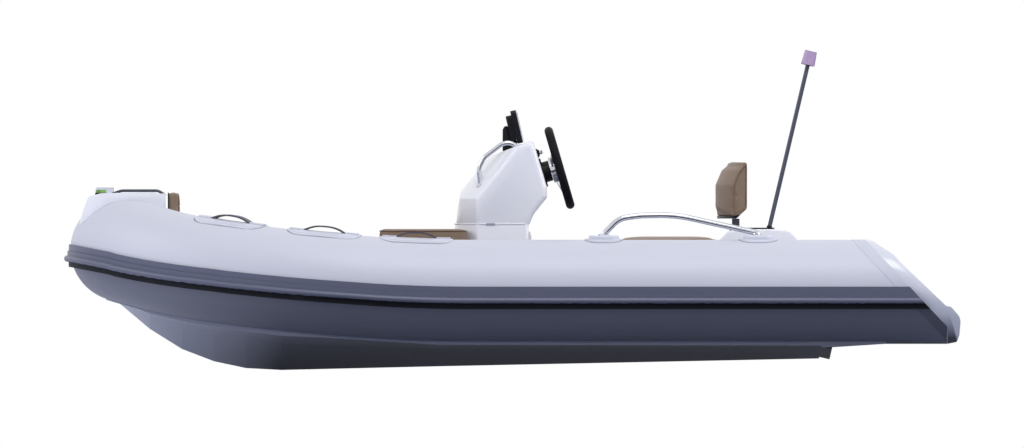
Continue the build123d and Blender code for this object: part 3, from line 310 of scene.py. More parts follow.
class Paint(Enum):
    """The boat's finishes."""

    # Coated polyester: an even satin skin with the weave just showing through.
    TUBE = Woven("coated_collar_fabric_white", "#d2d4de", 0.46, thread_mm=4.0, mottle=0.015)
    TUBE_LOW = Woven("coated_collar_fabric_grey", "#666977", 0.40, thread_mm=4.0)
    TAPE = Woven("coated_seam_tape_white", "#cfd1dc", 0.5, thread_mm=4.0, mottle=0.01)
    TAPE_LOW = Woven("coated_seam_tape_grey", "#575a67", 0.46, thread_mm=4.0, mottle=0.03)
    PATCH = Woven("coated_patch_fabric_white", "#d8dae4", 0.48, thread_mm=4.0, mottle=0.01)
    # A dull grey line that draws each patch's outline: painted shade at the patch's edge.
    PATCH_EDGE_SHADE = Finish("patch_edge_painted_shade_grey", "#7d8194", grain_mm=4, grain_depth=0.1)
    # Extruded rubber: dull, with a soft highlight along its bead. The black on its lip, under the
    # bead, is painted shadow.
    RUBBER = Finish("extruded_strake_rubber", "#5f6378", 0.42, grain_mm=6, grain_depth=0.15)
    STRAKE_SHADOW_BLACK = Finish("painted_shadow_strake_lip_black", "#1d1e24", 0.6, specular=0.2, grain_mm=6,
                          grain_depth=0.15)
    # Sprayed gelcoat: a hard, slightly wavy gloss that mirrors pale surroundings.
    GELCOAT = Finish("sprayed_gelcoat_white", "#f3f4f9", 0.22, coat=0.4, mottle=0.01, **WAVY)
    GELCOAT_DARK = Finish("sprayed_gelcoat_grey", "#777c90", 0.3, coat=0.3, grain_mm=30,
                          grain_depth=0.1)
    CAP = Fade("moulded_cone_gelcoat", "#dcdee7", 0.25, coat=0.4, low_colour="#4c4f5c",
               fade_z=(-0.005, 0.100), aft_x=(1.880, 1.889), **WAVY)
    TRANSOM = Fade("sprayed_transom_gelcoat", "#dfe2ec", 0.24, coat=0.4, low_colour="#1b1c21",
                   fade_z=(-0.034, -0.026), **WAVY)
    # Embossed vinyl: fine pebbles over slow wrinkles, darker in the piping.
    VINYL = Vinyl("embossed_seat_vinyl_tan", "#88735f", sheen=0.08, specular=0.4, mottle=0.05)
    VINYL_DARK = Vinyl("embossed_piping_vinyl_brown", "#776556", sheen=0.08, specular=0.4,
                       mottle=0.05)
    # Polished tube: sharp bands of light and dark.
    STEEL = Finish("polished_stainless_steel", "#c9ccd4", 0.14, **DRAWN)
    # A darker copy of the polished steel, used for the low bow rails.
    DARK_STEEL = Finish("dark_polished_steel", "#4b4d57", 0.2, **DRAWN)
    # Moulded plastic and foam: a fine matt grain that keeps black parts from going flat.
    BLACK = Finish("moulded_black_abs", "#121317", 0.36, specular=0.2, grain_mm=2.5,
                   grain_depth=0.08)
    GRIP = Finish("moulded_wheel_foam_black", "#101115", 0.6, specular=0.12, grain_mm=2.5,
                  grain_depth=0.25)
    WHITE_PLASTIC = Finish("moulded_white_asa", "#dcdfe9", 0.35, **MOULDED)
    SHADE_PLASTIC = Finish("moulded_grey_asa", "#a9adbb", 0.4, **MOULDED)
    GASKET = Finish("extruded_white_gasket", "#f2f3f8", grain_mm=3.0, grain_depth=0.03)
    # Powder coat: an even grey with a slight orange peel.
    GREY_METAL = Finish("powder_coated_aluminium_grey", "#4d505e", 0.36, grain_mm=2.0,
                        grain_depth=0.1)
    # Polyester webbing: a coarse ribbed weave with a little fuzz at the edge.
    WEBBING = Woven("woven_polyester_webbing_grey", "#454854", 0.75, thread_mm=5.0,
                    thread_depth=0.5, sheen=0.3)
    THREAD = Woven("twisted_nylon_thread_white", "#c9ccd8", 0.6, thread_mm=2.0)
    # Glass and lenses: a mirror-black display, tinted lenses, and a frosted lamp globe.
    SCREEN = Finish("display_glass_black", "#0a0b0e", 0.06, coat=1.0, grain_mm=60, grain_depth=0.0)
    GREEN = Clear("moulded_green_lens", "#a5dd75", 0.2)
    RED = Clear("moulded_red_lens", "#c3161c", 0.2)
    FROST = Finish("frosted_lamp_globe_lilac", "#b79cc1", 0.35, coat=0.2, mottle=0.06,
                   mottle_mm=25, **MOULDED)
    # Moulded non-slip: a pale matt tread that breaks up the light.
    DECK = Finish("moulded_nonslip_deck", "#d3d6e1", 0.55, grain_mm=9.0, grain_depth=0.6)
    MAT = Vinyl("moulded_foam_deck_mat_grey", "#8f93a1", 0.8, pebble_mm=14.0, mottle=0.05)


# ---- Mesh helpers ---------------------------------------------------------------------
def new_object(name: str, bm: BMesh) -> Object:
    """Turn a bmesh, which is freed, into an object in the scene."""
    mesh = bpy.data.meshes.new(name)
    bm.to_mesh(mesh)
    bm.free()
    made = bpy.data.objects.new(name, mesh)
    bpy.context.scene.collection.objects.link(made)
    return made


def finish_mesh(
    name: str,
    bm: BMesh,
    paints: Sequence[Paint],
    body: str = ROOT,
    replaces: Sequence[str] = (),
    sharp_deg: float = 35.0,
) -> Object:
    """Turn a bmesh into a shown piece that rides on a body.

    Args:
        name: the piece's name.
        bm: the geometry, freed here.
        paints: one finish for each material index.
        body: the body that carries the piece.
        replaces: CAD nodes that the piece stands for.
        sharp_deg: edges that turn more than this stay sharp.

    Returns:
        The new object.
    """
    piece = new_object(name, bm)
    mesh = piece.data
    mesh.shade_smooth()
    mesh.set_sharp_from_angle(angle=radians(sharp_deg))
    for paint in paints:
        mesh.materials.append(paint.value.build())
    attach(piece, body)
    if replaces:
        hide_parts(*replaces)
    LOG.info("%s on %s, %d faces", name, body, len(mesh.polygons))
    return piece


def show(slot: str, paint: Paint, *makers: Callable[[], BMesh], body: str = ROOT) -> None:
    """Finish the pieces that some methods make, each named as its method is.

    Args:
        slot: material slot of the record; not used.
        paint: their finish.
        makers: the methods.
        body: the body that carries them.
    """
    for make in makers:
        finish_mesh(make.__name__, make(), [paint], body)


def bevel(bm: BMesh, edges: Iterable[BMEdge], width: float, segments: int = 3) -> None:
    """Round the given edges with a bevel of a width in metres."""
    bmesh.ops.bevel(bm, geom=list(edges), offset=width, segments=segments, affect="EDGES",
                    profile=0.5, material=-1, clamp_overlap=True)


def sharp_edges(bm: BMesh, degrees: float = 30.0) -> list[BMEdge]:
    """List the edges whose two faces turn by more than an angle."""
    limit = radians(degrees)
    return [e for e in bm.edges if len(e.link_faces) == 2 and e.calc_face_angle(0) > limit]


def node_box(node: str) -> tuple[Vector, Vector]:
    """Give a CAD node's lowest and highest corners."""
    low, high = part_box(node)
    return Vector(low), Vector(high)


def node_bmesh(node: str) -> BMesh:
    """Copy a CAD node's mesh, merged, with its flat faces joined."""
    bm = bmesh.new()
    bm.from_mesh(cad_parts[node].data)
    bmesh.ops.remove_doubles(bm, verts=bm.verts[:], dist=1e-5)
    bmesh.ops.dissolve_limit(bm, angle_limit=radians(0.6), verts=bm.verts[:], edges=bm.edges[:])
    bm.normal_update()
    return bm


def softened(paint: Paint, *nodes: str, width: float, body: str = ROOT,
             degrees: float = 30.0) -> None:
    """Replace CAD nodes by their own shapes with rounded edges.

    Args:
        paint: their finish.
        nodes: the nodes to copy and replace.
        width: the rounding, in metres.
        body: the body that carries them.
        degrees: edges sharper than this are rounded.
    """
    for node in nodes:
        bm = node_bmesh(node)
        bevel(bm, sharp_edges(bm, degrees), width)
        finish_mesh(node + "_moulded", bm, [paint], body, [node])


def dress(paint: Paint, *nodes: str) -> None:
    """Give CAD nodes that keep their own meshes a finish."""
    for node in nodes:
        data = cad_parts[node].data
        data.materials.clear()
        data.materials.append(paint.value.build())


def frame_matrix(point: Vector, x_axis: Vector, z_axis: Vector) -> Matrix:
    """Build a placement from a point, an X direction and a Z direction."""
    z_axis = z_axis.normalized()
    x_axis = (x_axis - z_axis * x_axis.dot(z_axis)).normalized()
    turn = Matrix((x_axis, z_axis.cross(x_axis), z_axis)).transposed()
    return Matrix.Translation(point) @ turn.to_4x4()


def raised(place: Matrix, lift: float) -> Matrix:
    """Move a placement along its own Z."""
    return place @ Matrix.Translation((0, 0, lift))


def cut(bm: BMesh, point: Vector, normal: Vector, clear_outer: bool = True) -> None:
    """Cut a bmesh on a plane and clear the side that the normal points to, or the other."""
    bmesh.ops.bisect_plane(bm, geom=bm.verts[:] + bm.edges[:] + bm.faces[:], dist=1e-6,
                           plane_co=point, plane_no=normal, clear_outer=clear_outer,
                           clear_inner=not clear_outer)


def close_holes(bm: BMesh) -> None:
    """Fill every open edge loop."""
    bmesh.ops.holes_fill(bm, edges=[e for e in bm.edges if e.is_boundary])


def mirror_port(bm: BMesh) -> None:
    """Turn a port shape into its starboard image."""
    bmesh.ops.scale(bm, vec=(1, -1, 1), verts=bm.verts[:])


def sweep(bm: BMesh, ring: list[BMVert], places: Sequence[Matrix], closed: bool = True) -> None:
    """Carry a ring of vertices along a list of placements by extruding its edges.

    Args:
        bm: the bmesh that holds the ring, which already stands at the first placement.
        ring: the ring's vertices.
        places: placements along the way.
        closed: whether the last ring joins the first one.
    """
    first = ring
    edges = [e for e in bm.edges if e.verts[0] in ring and e.verts[1] in ring]
    for before, after in zip(places, places[1:]):
        made = bmesh.ops.extrude_edge_only(bm, edges=edges)["geom"]
        ring = [g for g in made if isinstance(g, BMVert)]
        edges = [g for g in made if isinstance(g, BMEdge)
                 and g.verts[0] in ring and g.verts[1] in ring]
        bmesh.ops.transform(bm, matrix=after @ before.inverted(), verts=ring)
    if closed:
        bmesh.ops.remove_doubles(bm, verts=list(first) + ring, dist=1e-6)
    bmesh.ops.recalc_face_normals(bm, faces=bm.faces[:])


def rounded_path(corners: Sequence[Vector], reach: float, arc_steps: int = 8) -> list[Vector]:
    """Round a polyline's corners with arcs.

    Args:
        corners: the polyline's points.
        reach: how far from a corner its arc may start, in metres.
        arc_steps: points along each arc.

    Returns:
        The points of the rounded line.
    """
    line = [corners[0]]
    for before, corner, after in zip(corners, corners[1:], corners[2:]):
        back, ahead = before - corner, after - corner
        step = min(reach, 0.48 * back.length, 0.48 * ahead.length)
        start, end = corner + back.normalized() * step, corner + ahead.normalized() * step
        for i in range(arc_steps + 1):
            t = i / arc_steps
            line.append((start * (1 - t) + corner * t) * (1 - t) + (corner * (1 - t) + end * t) * t)
    line.append(corners[-1])
    return line


def path_places(line: Sequence[Vector], closed: bool = False) -> list[Matrix]:
    """Place a frame at each point of a line: Z along the line, X level and square to it."""
    places = []
    count = len(line)
    for i, point in enumerate(line):
        ahead = line[(i + 1) % count] if closed or i + 1 < count else point
        behind = line[i - 1] if closed or i else point
        along = (ahead - behind).normalized()
        side = UP.cross(along)
        places.append(frame_matrix(point, side if side.length > 1e-3 else STARBOARD, along))
    if closed:
        places.append(places[0])
    return places


def tube_along(bm: BMesh, line: Sequence[Vector], radius: float, segments: int = 12,
               closed: bool = False) -> None:
    """Sweep a round section along a line, with its ends closed."""
    places = path_places(line, closed=closed)
    made = bmesh.ops.create_circle(bm, segments=segments, radius=radius, matrix=places[0])
    sweep(bm, made["verts"], places, closed)
    if not closed:
        close_holes(bm)


def join(bm: BMesh, part: BMesh) -> None:
    """Move one bmesh's geometry into another."""
    mesh = bpy.data.meshes.new("part")
    part.to_mesh(mesh)
    part.free()
    bm.from_mesh(mesh)
    bpy.data.meshes.remove(mesh)


def plate(bm: BMesh, low: Sequence[float], high: Sequence[float], corner: float,
          edge: float = 0.001, place: Matrix | None = None) -> None:
    """Add a plate with rounded corners and softened top edges.

    Args:
        bm: the bmesh that receives it.
        low: its lower corner.
        high: its upper corner.
        corner: rounding of its four corners, in metres.
        edge: rounding of its top edges.
        place: its placement, with Z through its thickness.
    """
    part = bmesh.new()
    low, high = Vector(low), Vector(high)
    bmesh.ops.create_cube(part, size=1.0, matrix=Matrix.Translation((low + high) / 2)
                          @ Matrix.Diagonal((*(high - low), 1.0)))
    upright = [e for e in part.edges if abs((e.verts[0].co - e.verts[1].co).z) > 1e-6]
    bevel(part, upright, corner, segments=6)
    top = [e for e in part.edges if all(abs(v.co.z - high.z) < 1e-7 for v in e.verts)]
    bevel(part, top, edge, segments=2)
    if place:
        bmesh.ops.transform(part, matrix=place, verts=part.verts[:])
    bmesh.ops.recalc_face_normals(part, faces=part.faces[:])
    join(bm, part)


def slab(bm: BMesh, place: Matrix, half: tuple[float, float], levels: tuple[float, float],
         corner: float, edge: float = 0.001) -> None:
    """Add a plate centred on a placement.

    Args:
        bm: the bmesh that receives it.
        place: its middle, with Z through its thickness.
        half: half its length and half its width, in metres.
        levels: heights of its underside and its top.
        corner: rounding of its four corners.
        edge: rounding of its top edges.
    """
    plate(bm, (-half[0], -half[1], levels[0]), (*half, levels[1]), corner, edge, place)


def boss(bm: BMesh, place: Matrix, radius: float, depth: float, edge: float = 0.001,
         segments: int = 32) -> None:
    """Add a round boss with a softened rim, which rises along a placement's Z.

    Args:
        bm: the bmesh that receives it.
        place: the middle of its foot.
        radius: of the boss, in metres.
        depth: how far it rises.
        edge: rounding of its rim.
        segments: sides of its outline.
    """
    part = bmesh.new()
    bmesh.ops.create_cone(part, cap_ends=True, segments=segments, radius1=radius, radius2=radius,
                          depth=depth, matrix=raised(place, depth / 2))
    top = place @ Vector((0, 0, depth))
    axis = (place.to_3x3() @ UP).normalized()
    rim = [e for e in part.edges if all(abs((v.co - top).dot(axis)) < 1e-6 for v in e.verts)]
    bevel(part, rim, edge, segments=3)
    join(bm, part)


def face_plate(node: str, way: Vector, inset: float, depth: float, lift: float = 0.0) -> BMesh:
    """Grow a plate from a node's largest flat face.

    Args:
        node: the CAD node whose face it lies on.
        way: the way that the face looks.
        inset: distance from the face's outline, in metres.
        depth: the plate's thickness.
        lift: gap under the plate.

    Returns:
        The plate as a closed bmesh.
    """
    bm = node_bmesh(node)
    face = max((f for f in bm.faces if f.normal.dot(way) > 0.95), key=lambda f: f.calc_area())
    bmesh.ops.delete(bm, geom=[f for f in bm.faces if f is not face], context="FACES")
    rim = bmesh.ops.inset_region(bm, faces=bm.faces[:], thickness=inset, use_boundary=True,
                                 use_even_offset=True)["faces"]
    bmesh.ops.delete(bm, geom=rim, context="FACES")
    bmesh.ops.translate(bm, vec=way * lift, verts=bm.verts[:])
    made = bmesh.ops.extrude_face_region(bm, geom=bm.faces[:])["geom"]
    top = [g for g in made if isinstance(g, BMVert)]
    bmesh.ops.translate(bm, vec=way * depth, verts=top)
    bmesh.ops.recalc_face_normals(bm, faces=bm.faces[:])
    rim_edges = [e for e in bm.edges if e.verts[0] in top and e.verts[1] in top]
    bevel(bm, rim_edges, min(0.0008, depth * 0.4), segments=2)
    return bm


# ---- Surfaces that small parts are laid on --------------------------------------------
@cache
def surface_of(node: str) -> BVHTree:
    """Gather a node's faces into a tree for finding points on them."""
    bm = bmesh.new()
    bm.from_mesh(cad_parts[node].data)
    tree = BVHTree.FromBMesh(bm)
    bm.free()
    return tree


def landing(node: str, start: Sequence[float], way: Vector,
            x_axis: Vector = STARBOARD) -> Matrix | None:
    """Place a frame where a ray meets a node's surface.

    Args:
        node: the CAD node.
        start: where the ray starts.
        way: where it goes.
        x_axis: the frame's X before it is squared to the surface.

    Returns:
        The frame with its Z out of the surface, or nothing where the ray misses.
    """
    spot, normal, _, _ = surface_of(node).ray_cast(Vector(start), way)
    return None if spot is None else frame_matrix(spot, x_axis, normal)


def face_outline(node: str, way: Vector) -> list[Vector]:
    """Give the outline of a node's largest flat face that looks along a direction."""
    bm = node_bmesh(node)
    facing = [f for f in bm.faces if f.normal.dot(way) > 0.95]
    loop = [v.co.copy() for v in max(facing, key=lambda f: f.calc_area()).verts]
    bm.free()
    return loop


def resample(loop: Sequence[Vector], spacing: float, closed: bool = True) -> list[Vector]:
    """Space points evenly along a line."""
    ends = list(loop[1:]) + [loop[0]] if closed else list(loop[1:])
    lengths = [(b - a).length for a, b in zip(loop, ends)]
    total = sum(lengths)
    count = max(8, round(total / spacing))
    points, run, k = [], 0.0, 0
    for i in range(count if closed else count + 1):
        target = total * i / count
        while k < len(lengths) - 1 and run + lengths[k] < target:
            run += lengths[k]
            k += 1
        t = (target - run) / max(lengths[k], 1e-9)
        points.append(loop[k].lerp(ends[k], min(1.0, t)))
    return points


def relax(line: Sequence[Vector], rounds: int) -> list[Vector]:
    """Round a closed line's corners by averaging each point with its neighbours."""
    points, count = list(line), len(line)
    for _ in range(rounds):
        points = [(points[i - 1] + point * 2 + points[(i + 1) % count]) / 4
                  for i, point in enumerate(points)]
    return points


# ---- Padding --------------------------------------------------------------------------
@dataclass
class Cushion:
    """A padded seat or rest: a foam block in stretched vinyl with piped seams.

    Attributes:
        node: the CAD node that it stands for.
        body: the body that carries it.
        seams: directions of the faces whose outlines carry piping.
        flat: direction of the face that lies on its board.
        shrink: how far the block starts inside its solid, in metres.
        swell: the most that a point may move outwards, in metres.
        crown: how far the top falls, from a share crown_from of its half size outwards.
        fill: tightness, from 0 to 1; not used.
        voxel: size of the squares that the cover is made of.
        piping: radius of the piping, which runs seam_in inside the face's outline.
        crease_r: how far from a seam the cover is pulled in.
        trim_low: height left free under it for a board.
    """

    node: str
    body: str
    seams: tuple[Vector, ...]
    flat: Vector
    shrink: float = 0.003
    swell: float = 0.006
    crown: float = 0.0
    crown_from: float = 0.45
    crown_run: float = 0.30
    fill: float = 0.75
    voxel: float = 0.006
    pressure: float = 4.0
    frames: int = 20
    piping: float = 0.0028
    seam_in: float = 0.004
    seam_down: float = 0.006
    spacing: float = 0.012
    crease_r: float = 0.016
    crease_depth: float = 0.0022
    trim_low: float = 0.0

    def box(self) -> tuple[Vector, Vector]:
        """Give the corners of the space that the cover fills, above its board."""
        low, high = node_box(self.node)
        low.z += self.trim_low
        return low, high

    def block(self) -> BMesh:
        """Copy the solid, a little smaller all round."""
        bm = node_bmesh(self.node)
        low, high = self.box()
        for vert in bm.verts:
            vert.co.z = max(vert.co.z, low.z)
        middle = Matrix.Translation((low + high) / 2)
        scale = [max(0.5, 1 - 2 * self.shrink / size) for size in high - low]
        bmesh.ops.transform(bm, verts=bm.verts[:],
                            matrix=middle @ Matrix.Diagonal((*scale, 1)) @ middle.inverted())
        bmesh.ops.translate(bm, vec=self.flat * self.shrink * 0.8, verts=bm.verts[:])
        return bm

    def applied(self, block: Object) -> Mesh:
        """Give the mesh that an object's modifiers make, and clear them."""
        mesh = bpy.data.meshes.new_from_object(
            block.evaluated_get(bpy.context.evaluated_depsgraph_get()))
        block.modifiers.clear()
        return mesh

    def remeshed(self, bm: BMesh) -> Object:
        """Turn the block into an even mesh of small squares."""
        bmesh.ops.triangulate(bm, faces=bm.faces[:])
        block = new_object(self.node + "_block", bm)
        voxels = block.modifiers.new("voxels", "REMESH")
        voxels.mode = "VOXEL"
        voxels.voxel_size = self.voxel
        block.data = self.applied(block)
        return block

    def inflate(self, block: Object) -> None:
        """Let cloth under pressure crown the block, and cap how far a point moves."""
        start = [v.co.copy() for v in block.data.vertices]
        cloth = block.modifiers.new("cover", "CLOTH")
        cloth.settings.use_pressure = True
        cloth.settings.uniform_pressure_force = self.pressure
        cloth.settings.effector_weights.gravity = 0.0
        cloth.settings.quality = 4
        cloth.point_cache.frame_start, cloth.point_cache.frame_end = 1, self.frames
        scene = bpy.context.scene
        for number in range(1, self.frames + 1):
            scene.frame_set(number)
        swollen = self.applied(block)
        for vert, before in zip(swollen.vertices, start):
            move = vert.co - before
            if move.length > self.swell:
                vert.co = before + move * (self.swell / move.length)
        block.data = swollen
        scene.frame_set(1)

    def settle(self, bm: BMesh, slack: float = 0.002) -> None:
        """Keep the cover inside its solid's box, and flat on its board.

        Args:
            bm: the cover.
            slack: how far its free sides may stand out of the box, in metres.
        """
        low, high = self.box()
        middle, half = (low + high) / 2, (high - low) / 2
        for vert in bm.verts:
            for axis in range(3):
                spare = 0.0 if abs(self.flat[axis]) > 0.5 else slack
                vert.co[axis] = min(max(vert.co[axis], low[axis] - spare), high[axis] + spare)
            if vert.co.z > middle.z:
                out = max(abs(vert.co.x - middle.x) / half.x, abs(vert.co.y - middle.y) / half.y)
                vert.co.z -= self.crown * max(0.0, out - self.crown_from) ** 2 / self.crown_run

    def piping_lines(self, tree: BVHTree) -> list[list[Vector]]:
        """Find where the piped seams run on the finished cover."""
        lines = []
        for way in self.seams:
            loop = face_outline(self.node, way)
            for point in loop:
                point.z = max(point.z, self.box()[0].z)
            centre = sum(loop, Vector()) / len(loop)
            loop = [p + (centre - p).normalized() * self.seam_in - way * self.seam_down
                    for p in loop]
            laid = []
            for point in relax(resample(loop, self.spacing), rounds=3):
                spot, normal, _, _ = tree.find_nearest(point)
                laid.append(spot + normal * 0.0005)
            lines.append(relax(laid, rounds=2))
        return lines

    def crease(self, bm: BMesh, lines: list[list[Vector]]) -> None:
        """Pull the cover in along its seams."""
        near = KDTree(sum(len(line) for line in lines))
        for i, point in enumerate(p for line in lines for p in line):
            near.insert(point, i)
        near.balance()
        bm.normal_update()
        for vert in bm.verts:
            distance = near.find(vert.co)[2]
            if distance < self.crease_r:
                vert.co -= vert.normal * self.crease_depth * (1 - distance / self.crease_r) ** 2

    def build(self) -> None:
        """Make the cover, its creases and its piping."""
        block = self.remeshed(self.block())
        self.inflate(block)
        bm = bmesh.new()
        bm.from_mesh(block.data)
        bpy.data.objects.remove(block)
        bmesh.ops.smooth_vert(bm, verts=bm.verts[:], factor=0.5, use_axis_x=True,
                              use_axis_y=True, use_axis_z=True)
        self.settle(bm)
        bmesh.ops.recalc_face_normals(bm, faces=bm.faces[:])
        lines = self.piping_lines(BVHTree.FromBMesh(bm))
        self.crease(bm, lines)
        cover = finish_mesh(self.node + "_cover", bm, [Paint.VINYL], self.body, [self.node],
                            sharp_deg=180)
        soft = cover.modifiers.new("smooth", "SUBSURF")
        soft.levels = soft.render_levels = 1
        pipes = bmesh.new()
        for line in lines:
            tube_along(pipes, line, self.piping, segments=8, closed=True)
        finish_mesh(self.node + "_piping", pipes, [Paint.VINYL_DARK], self.body, sharp_deg=180)


@dataclass
class Upholstery:
    """The five padded pieces and the boards behind the backrests.

    Attributes:
        board_t: height left free for the board under the helm backrest, whose own height
            is board_lap times that.
        board_in: the board's length and width as shares of the backrest's.
        bow_board_t: thickness of the board behind the bow backrest, whose black is painted shadow
            between the moulding and the cushion.
    """

    board_t: float = 0.008
    board_lap: float = 1.5
    board_in: tuple[float, float] = (0.9, 0.96)
    bow_board_t: float = 0.005

    def board(self, node: str, point: Sequence[float], normal: Vector) -> BMesh:
        """Copy the part of a backrest that its board takes."""
        bm = node_bmesh(node)
        cut(bm, Vector(point), normal)
        close_holes(bm)
        return bm

    def build(self) -> None:
        """Make every cushion on the body that carries it, and the boards."""
        Cushion("front_cushion", "front_seat", (UP,), DOWN).build()
        Cushion("helm_cushion", "helm_seat", (UP,), DOWN, voxel=0.007, crown=0.010).build()
        Cushion("bow_cushion", "bow_seat", (UP,), DOWN, voxel=0.007).build()
        Cushion("bow_backrest", ROOT, (AFT,), FORE, shrink=0.002, swell=0.005,
                voxel=0.004).build()
        Cushion("backrest", ROOT, (-STARBOARD, STARBOARD), AFT, shrink=0.002, swell=0.004,
                voxel=0.005, trim_low=self.board_t).build()
        low, high = node_box("backrest")
        foot = self.board("backrest", (0, 0, low.z + self.board_t * self.board_lap), UP)
        middle = (low + high) / 2
        middle.z = 0
        place = Matrix.Translation(middle)
        bmesh.ops.transform(foot, verts=foot.verts[:], matrix=place
                            @ Matrix.Diagonal((*self.board_in, 1, 1)) @ place.inverted())
        back = self.board("bow_backrest", (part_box("bow_backrest")[0][0] + self.bow_board_t, 0, 0),
                          AFT)
        # The bow backrest's board is real, but its black is painted shadow: the dark line between
        # moulding and cushion.
        for name, bm in (("backrest_board", foot), ("bow_backrest_shadow_board", back)):
            finish_mesh(name, bm, [Paint.BLACK], sharp_deg=30)


# ---- Collar ---------------------------------------------------------------------------
@dataclass
class Collar:
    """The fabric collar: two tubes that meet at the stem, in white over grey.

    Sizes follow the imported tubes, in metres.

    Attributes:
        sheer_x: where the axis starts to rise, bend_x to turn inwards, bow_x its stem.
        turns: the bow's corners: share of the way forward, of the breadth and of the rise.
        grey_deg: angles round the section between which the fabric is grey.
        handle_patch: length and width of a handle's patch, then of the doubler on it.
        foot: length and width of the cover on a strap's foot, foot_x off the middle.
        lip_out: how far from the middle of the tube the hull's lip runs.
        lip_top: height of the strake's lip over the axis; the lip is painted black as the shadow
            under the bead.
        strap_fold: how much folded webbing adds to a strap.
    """

    radius: float = 0.221
    half_breadth: float = 0.660
    axis_z: float = 0.192
    sheer_x: float = -0.420
    bend_x: float = -0.919
    bow_x: float = -1.656
    rise: float = 0.180
    turns: tuple[tuple[float, float, float], ...] = (
        (0.0, 1.0, 0.21), (0.634, 0.732, 0.56), (1.0, 0.268, 1.0), (1.0, 0.0, 1.0))
    stern_x: float = 1.946
    cut_top_x: float = 1.500
    cut_deg: float = 46.8
    cut_foot_x: float = 1.846
    grey_deg: tuple[float, float] = (-105.0, -8.0)
    ring: int = 112
    step: float = 0.040
    tape_t: float = 0.0012
    band_w: float = 0.042
    patch_t: float = 0.004
    doubler_t: float = 0.0012
    handle_patch: tuple[tuple[float, float], ...] = ((0.310, 0.181), (0.286, 0.150))
    rail_patch: tuple[tuple[float, float], ...] = ((0.162, 0.153), (0.146, 0.134))
    patch_corner: tuple[float, float] = (0.062, 0.050)
    foot: tuple[float, float] = (0.062, 0.066)
    foot_t: float = 0.0042
    foot_x: float = 0.119
    edge_shade_w: float = 0.0028
    edge_shade_t: float = 0.0006
    handle_x: tuple[float, ...] = (-1.217, -0.817, -0.416)
    rail_x: tuple[float, ...] = (0.388, 1.043)
    valve_x: tuple[float, ...] = (-0.72, 0.62)
    valve_deg: float = 152.0
    lip_out: float = 0.066
    lip_aft_x: float = 1.30
    lip_r: float = 0.0045
    lip_top: float = -0.0485
    lip_t: float = 0.0006
    strap_fold: float = 0.0018

    def corners(self) -> list[Vector]:
        """Give the corners of the port tube's axis from stern to stem."""
        span = self.bow_x - self.bend_x
        line = [Vector((x, -self.half_breadth, self.axis_z)) for x in (self.stern_x, self.sheer_x)]
        for run, breadth, lift in self.turns:
            line.append(Vector((self.bend_x + span * run, -self.half_breadth * breadth,
                                self.axis_z + self.rise * lift)))
        return line

    def axis(self) -> list[Vector]:
        """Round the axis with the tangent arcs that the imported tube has."""
        corners = self.corners()
        last = len(corners) - 2
        line = [corners[0]]
        for i in range(1, last + 1):
            back, ahead = corners[i - 1] - corners[i], corners[i + 1] - corners[i]
            reach = min((0.96 if i == 1 else 0.48) * back.length,
                        (0.96 if i == last else 0.48) * ahead.length)
            turn = pi - back.angle(ahead)
            bend = reach / tan(turn / 2)
            bisector = (back.normalized() + ahead.normalized()).normalized()
            centre = corners[i] + bisector * (bend / cos(turn / 2))
            start = corners[i] + back.normalized() * reach - centre
            end = corners[i] + ahead.normalized() * reach - centre
            count = max(2, round(bend * turn / self.step))
            line += [centre + start.slerp(end, k / count) * bend for k in range(count + 1)]
        line.append(corners[-1])
        return line

    def stations(self) -> list[Vector]:
        """Divide the straight runs of the axis as finely as its arcs."""
        line: list[Vector] = []
        axis = self.axis()
        for start, end in zip(axis, axis[1:]):
            count = max(1, round((end - start).length / self.step))
            line += [start.lerp(end, k / count) for k in range(count)]
        return line + [axis[-1]]

    def places(self) -> list[Matrix]:
        """Place a frame at each station: X outboard, Y up, Z towards the stem."""
        line = self.stations()
        made = []
        for i, point in enumerate(line):
            along = (line[min(i + 1, len(line) - 1)] - line[max(i - 1, 0)]).normalized()
            if i == len(line) - 1:
                along = STARBOARD
            made.append(frame_matrix(point, UP.cross(along), along))
        return made

    def slanted(self) -> tuple[Vector, Vector]:
        """Give a point on the slanted stern plane and the way that it looks."""
        slope = radians(self.cut_deg)
        return (Vector((self.cut_top_x, 0, self.axis_z + self.radius)),
                Vector((sin(slope), 0, cos(slope))))

    def trim_stern(self, bm: BMesh) -> None:
        """Cut the tube on its slanted stern plane, then on the upright foot."""
        for point, normal in (self.slanted(), (Vector((self.cut_foot_x, 0, 0)), AFT)):
            cut(bm, point, normal)
            bmesh.ops.holes_fill(bm, edges=[e for e in bm.edges if e.is_boundary and all(
                abs((v.co - point).dot(normal)) < 1e-4 for v in e.verts)])

    def shell(self, side: int, radius: float) -> BMesh:
        """Sweep one side's tube.

        Args:
            side: -1 for port, 1 for starboard.
            radius: of the tube.

        Returns:
            A bmesh whose faces carry material 0 above the split and 1 below it.
        """
        bm = bmesh.new()
        places = self.places()
        ring = bmesh.ops.create_circle(bm, segments=self.ring, radius=radius,
                                       matrix=places[0])["verts"]
        sweep(bm, ring, places, closed=False)
        foot, split = (radians(angle) for angle in self.grey_deg)
        for face in bm.faces:
            middle = face.calc_center_median()
            near = min(places, key=lambda m: (m.translation - middle).length_squared)
            local = near.inverted() @ middle
            face.material_index = int(foot < atan2(local.y, local.x) < split)
        self.trim_stern(bm)
        if side > 0:
            mirror_port(bm)
        bmesh.ops.recalc_face_normals(bm, faces=bm.faces[:])
        return bm

    def stern_band(self, side: int) -> BMesh:
        """Lay the seam tape round the tube along its stern cut."""
        bm = self.shell(side, self.radius + self.tape_t)
        crest, normal = self.slanted()
        for back, outer in ((self.band_w, False), (0.0006, True)):
            cut(bm, crest - normal * back, normal, outer)
        bmesh.ops.solidify(bm, geom=bm.faces[:], thickness=self.tape_t)
        return bm

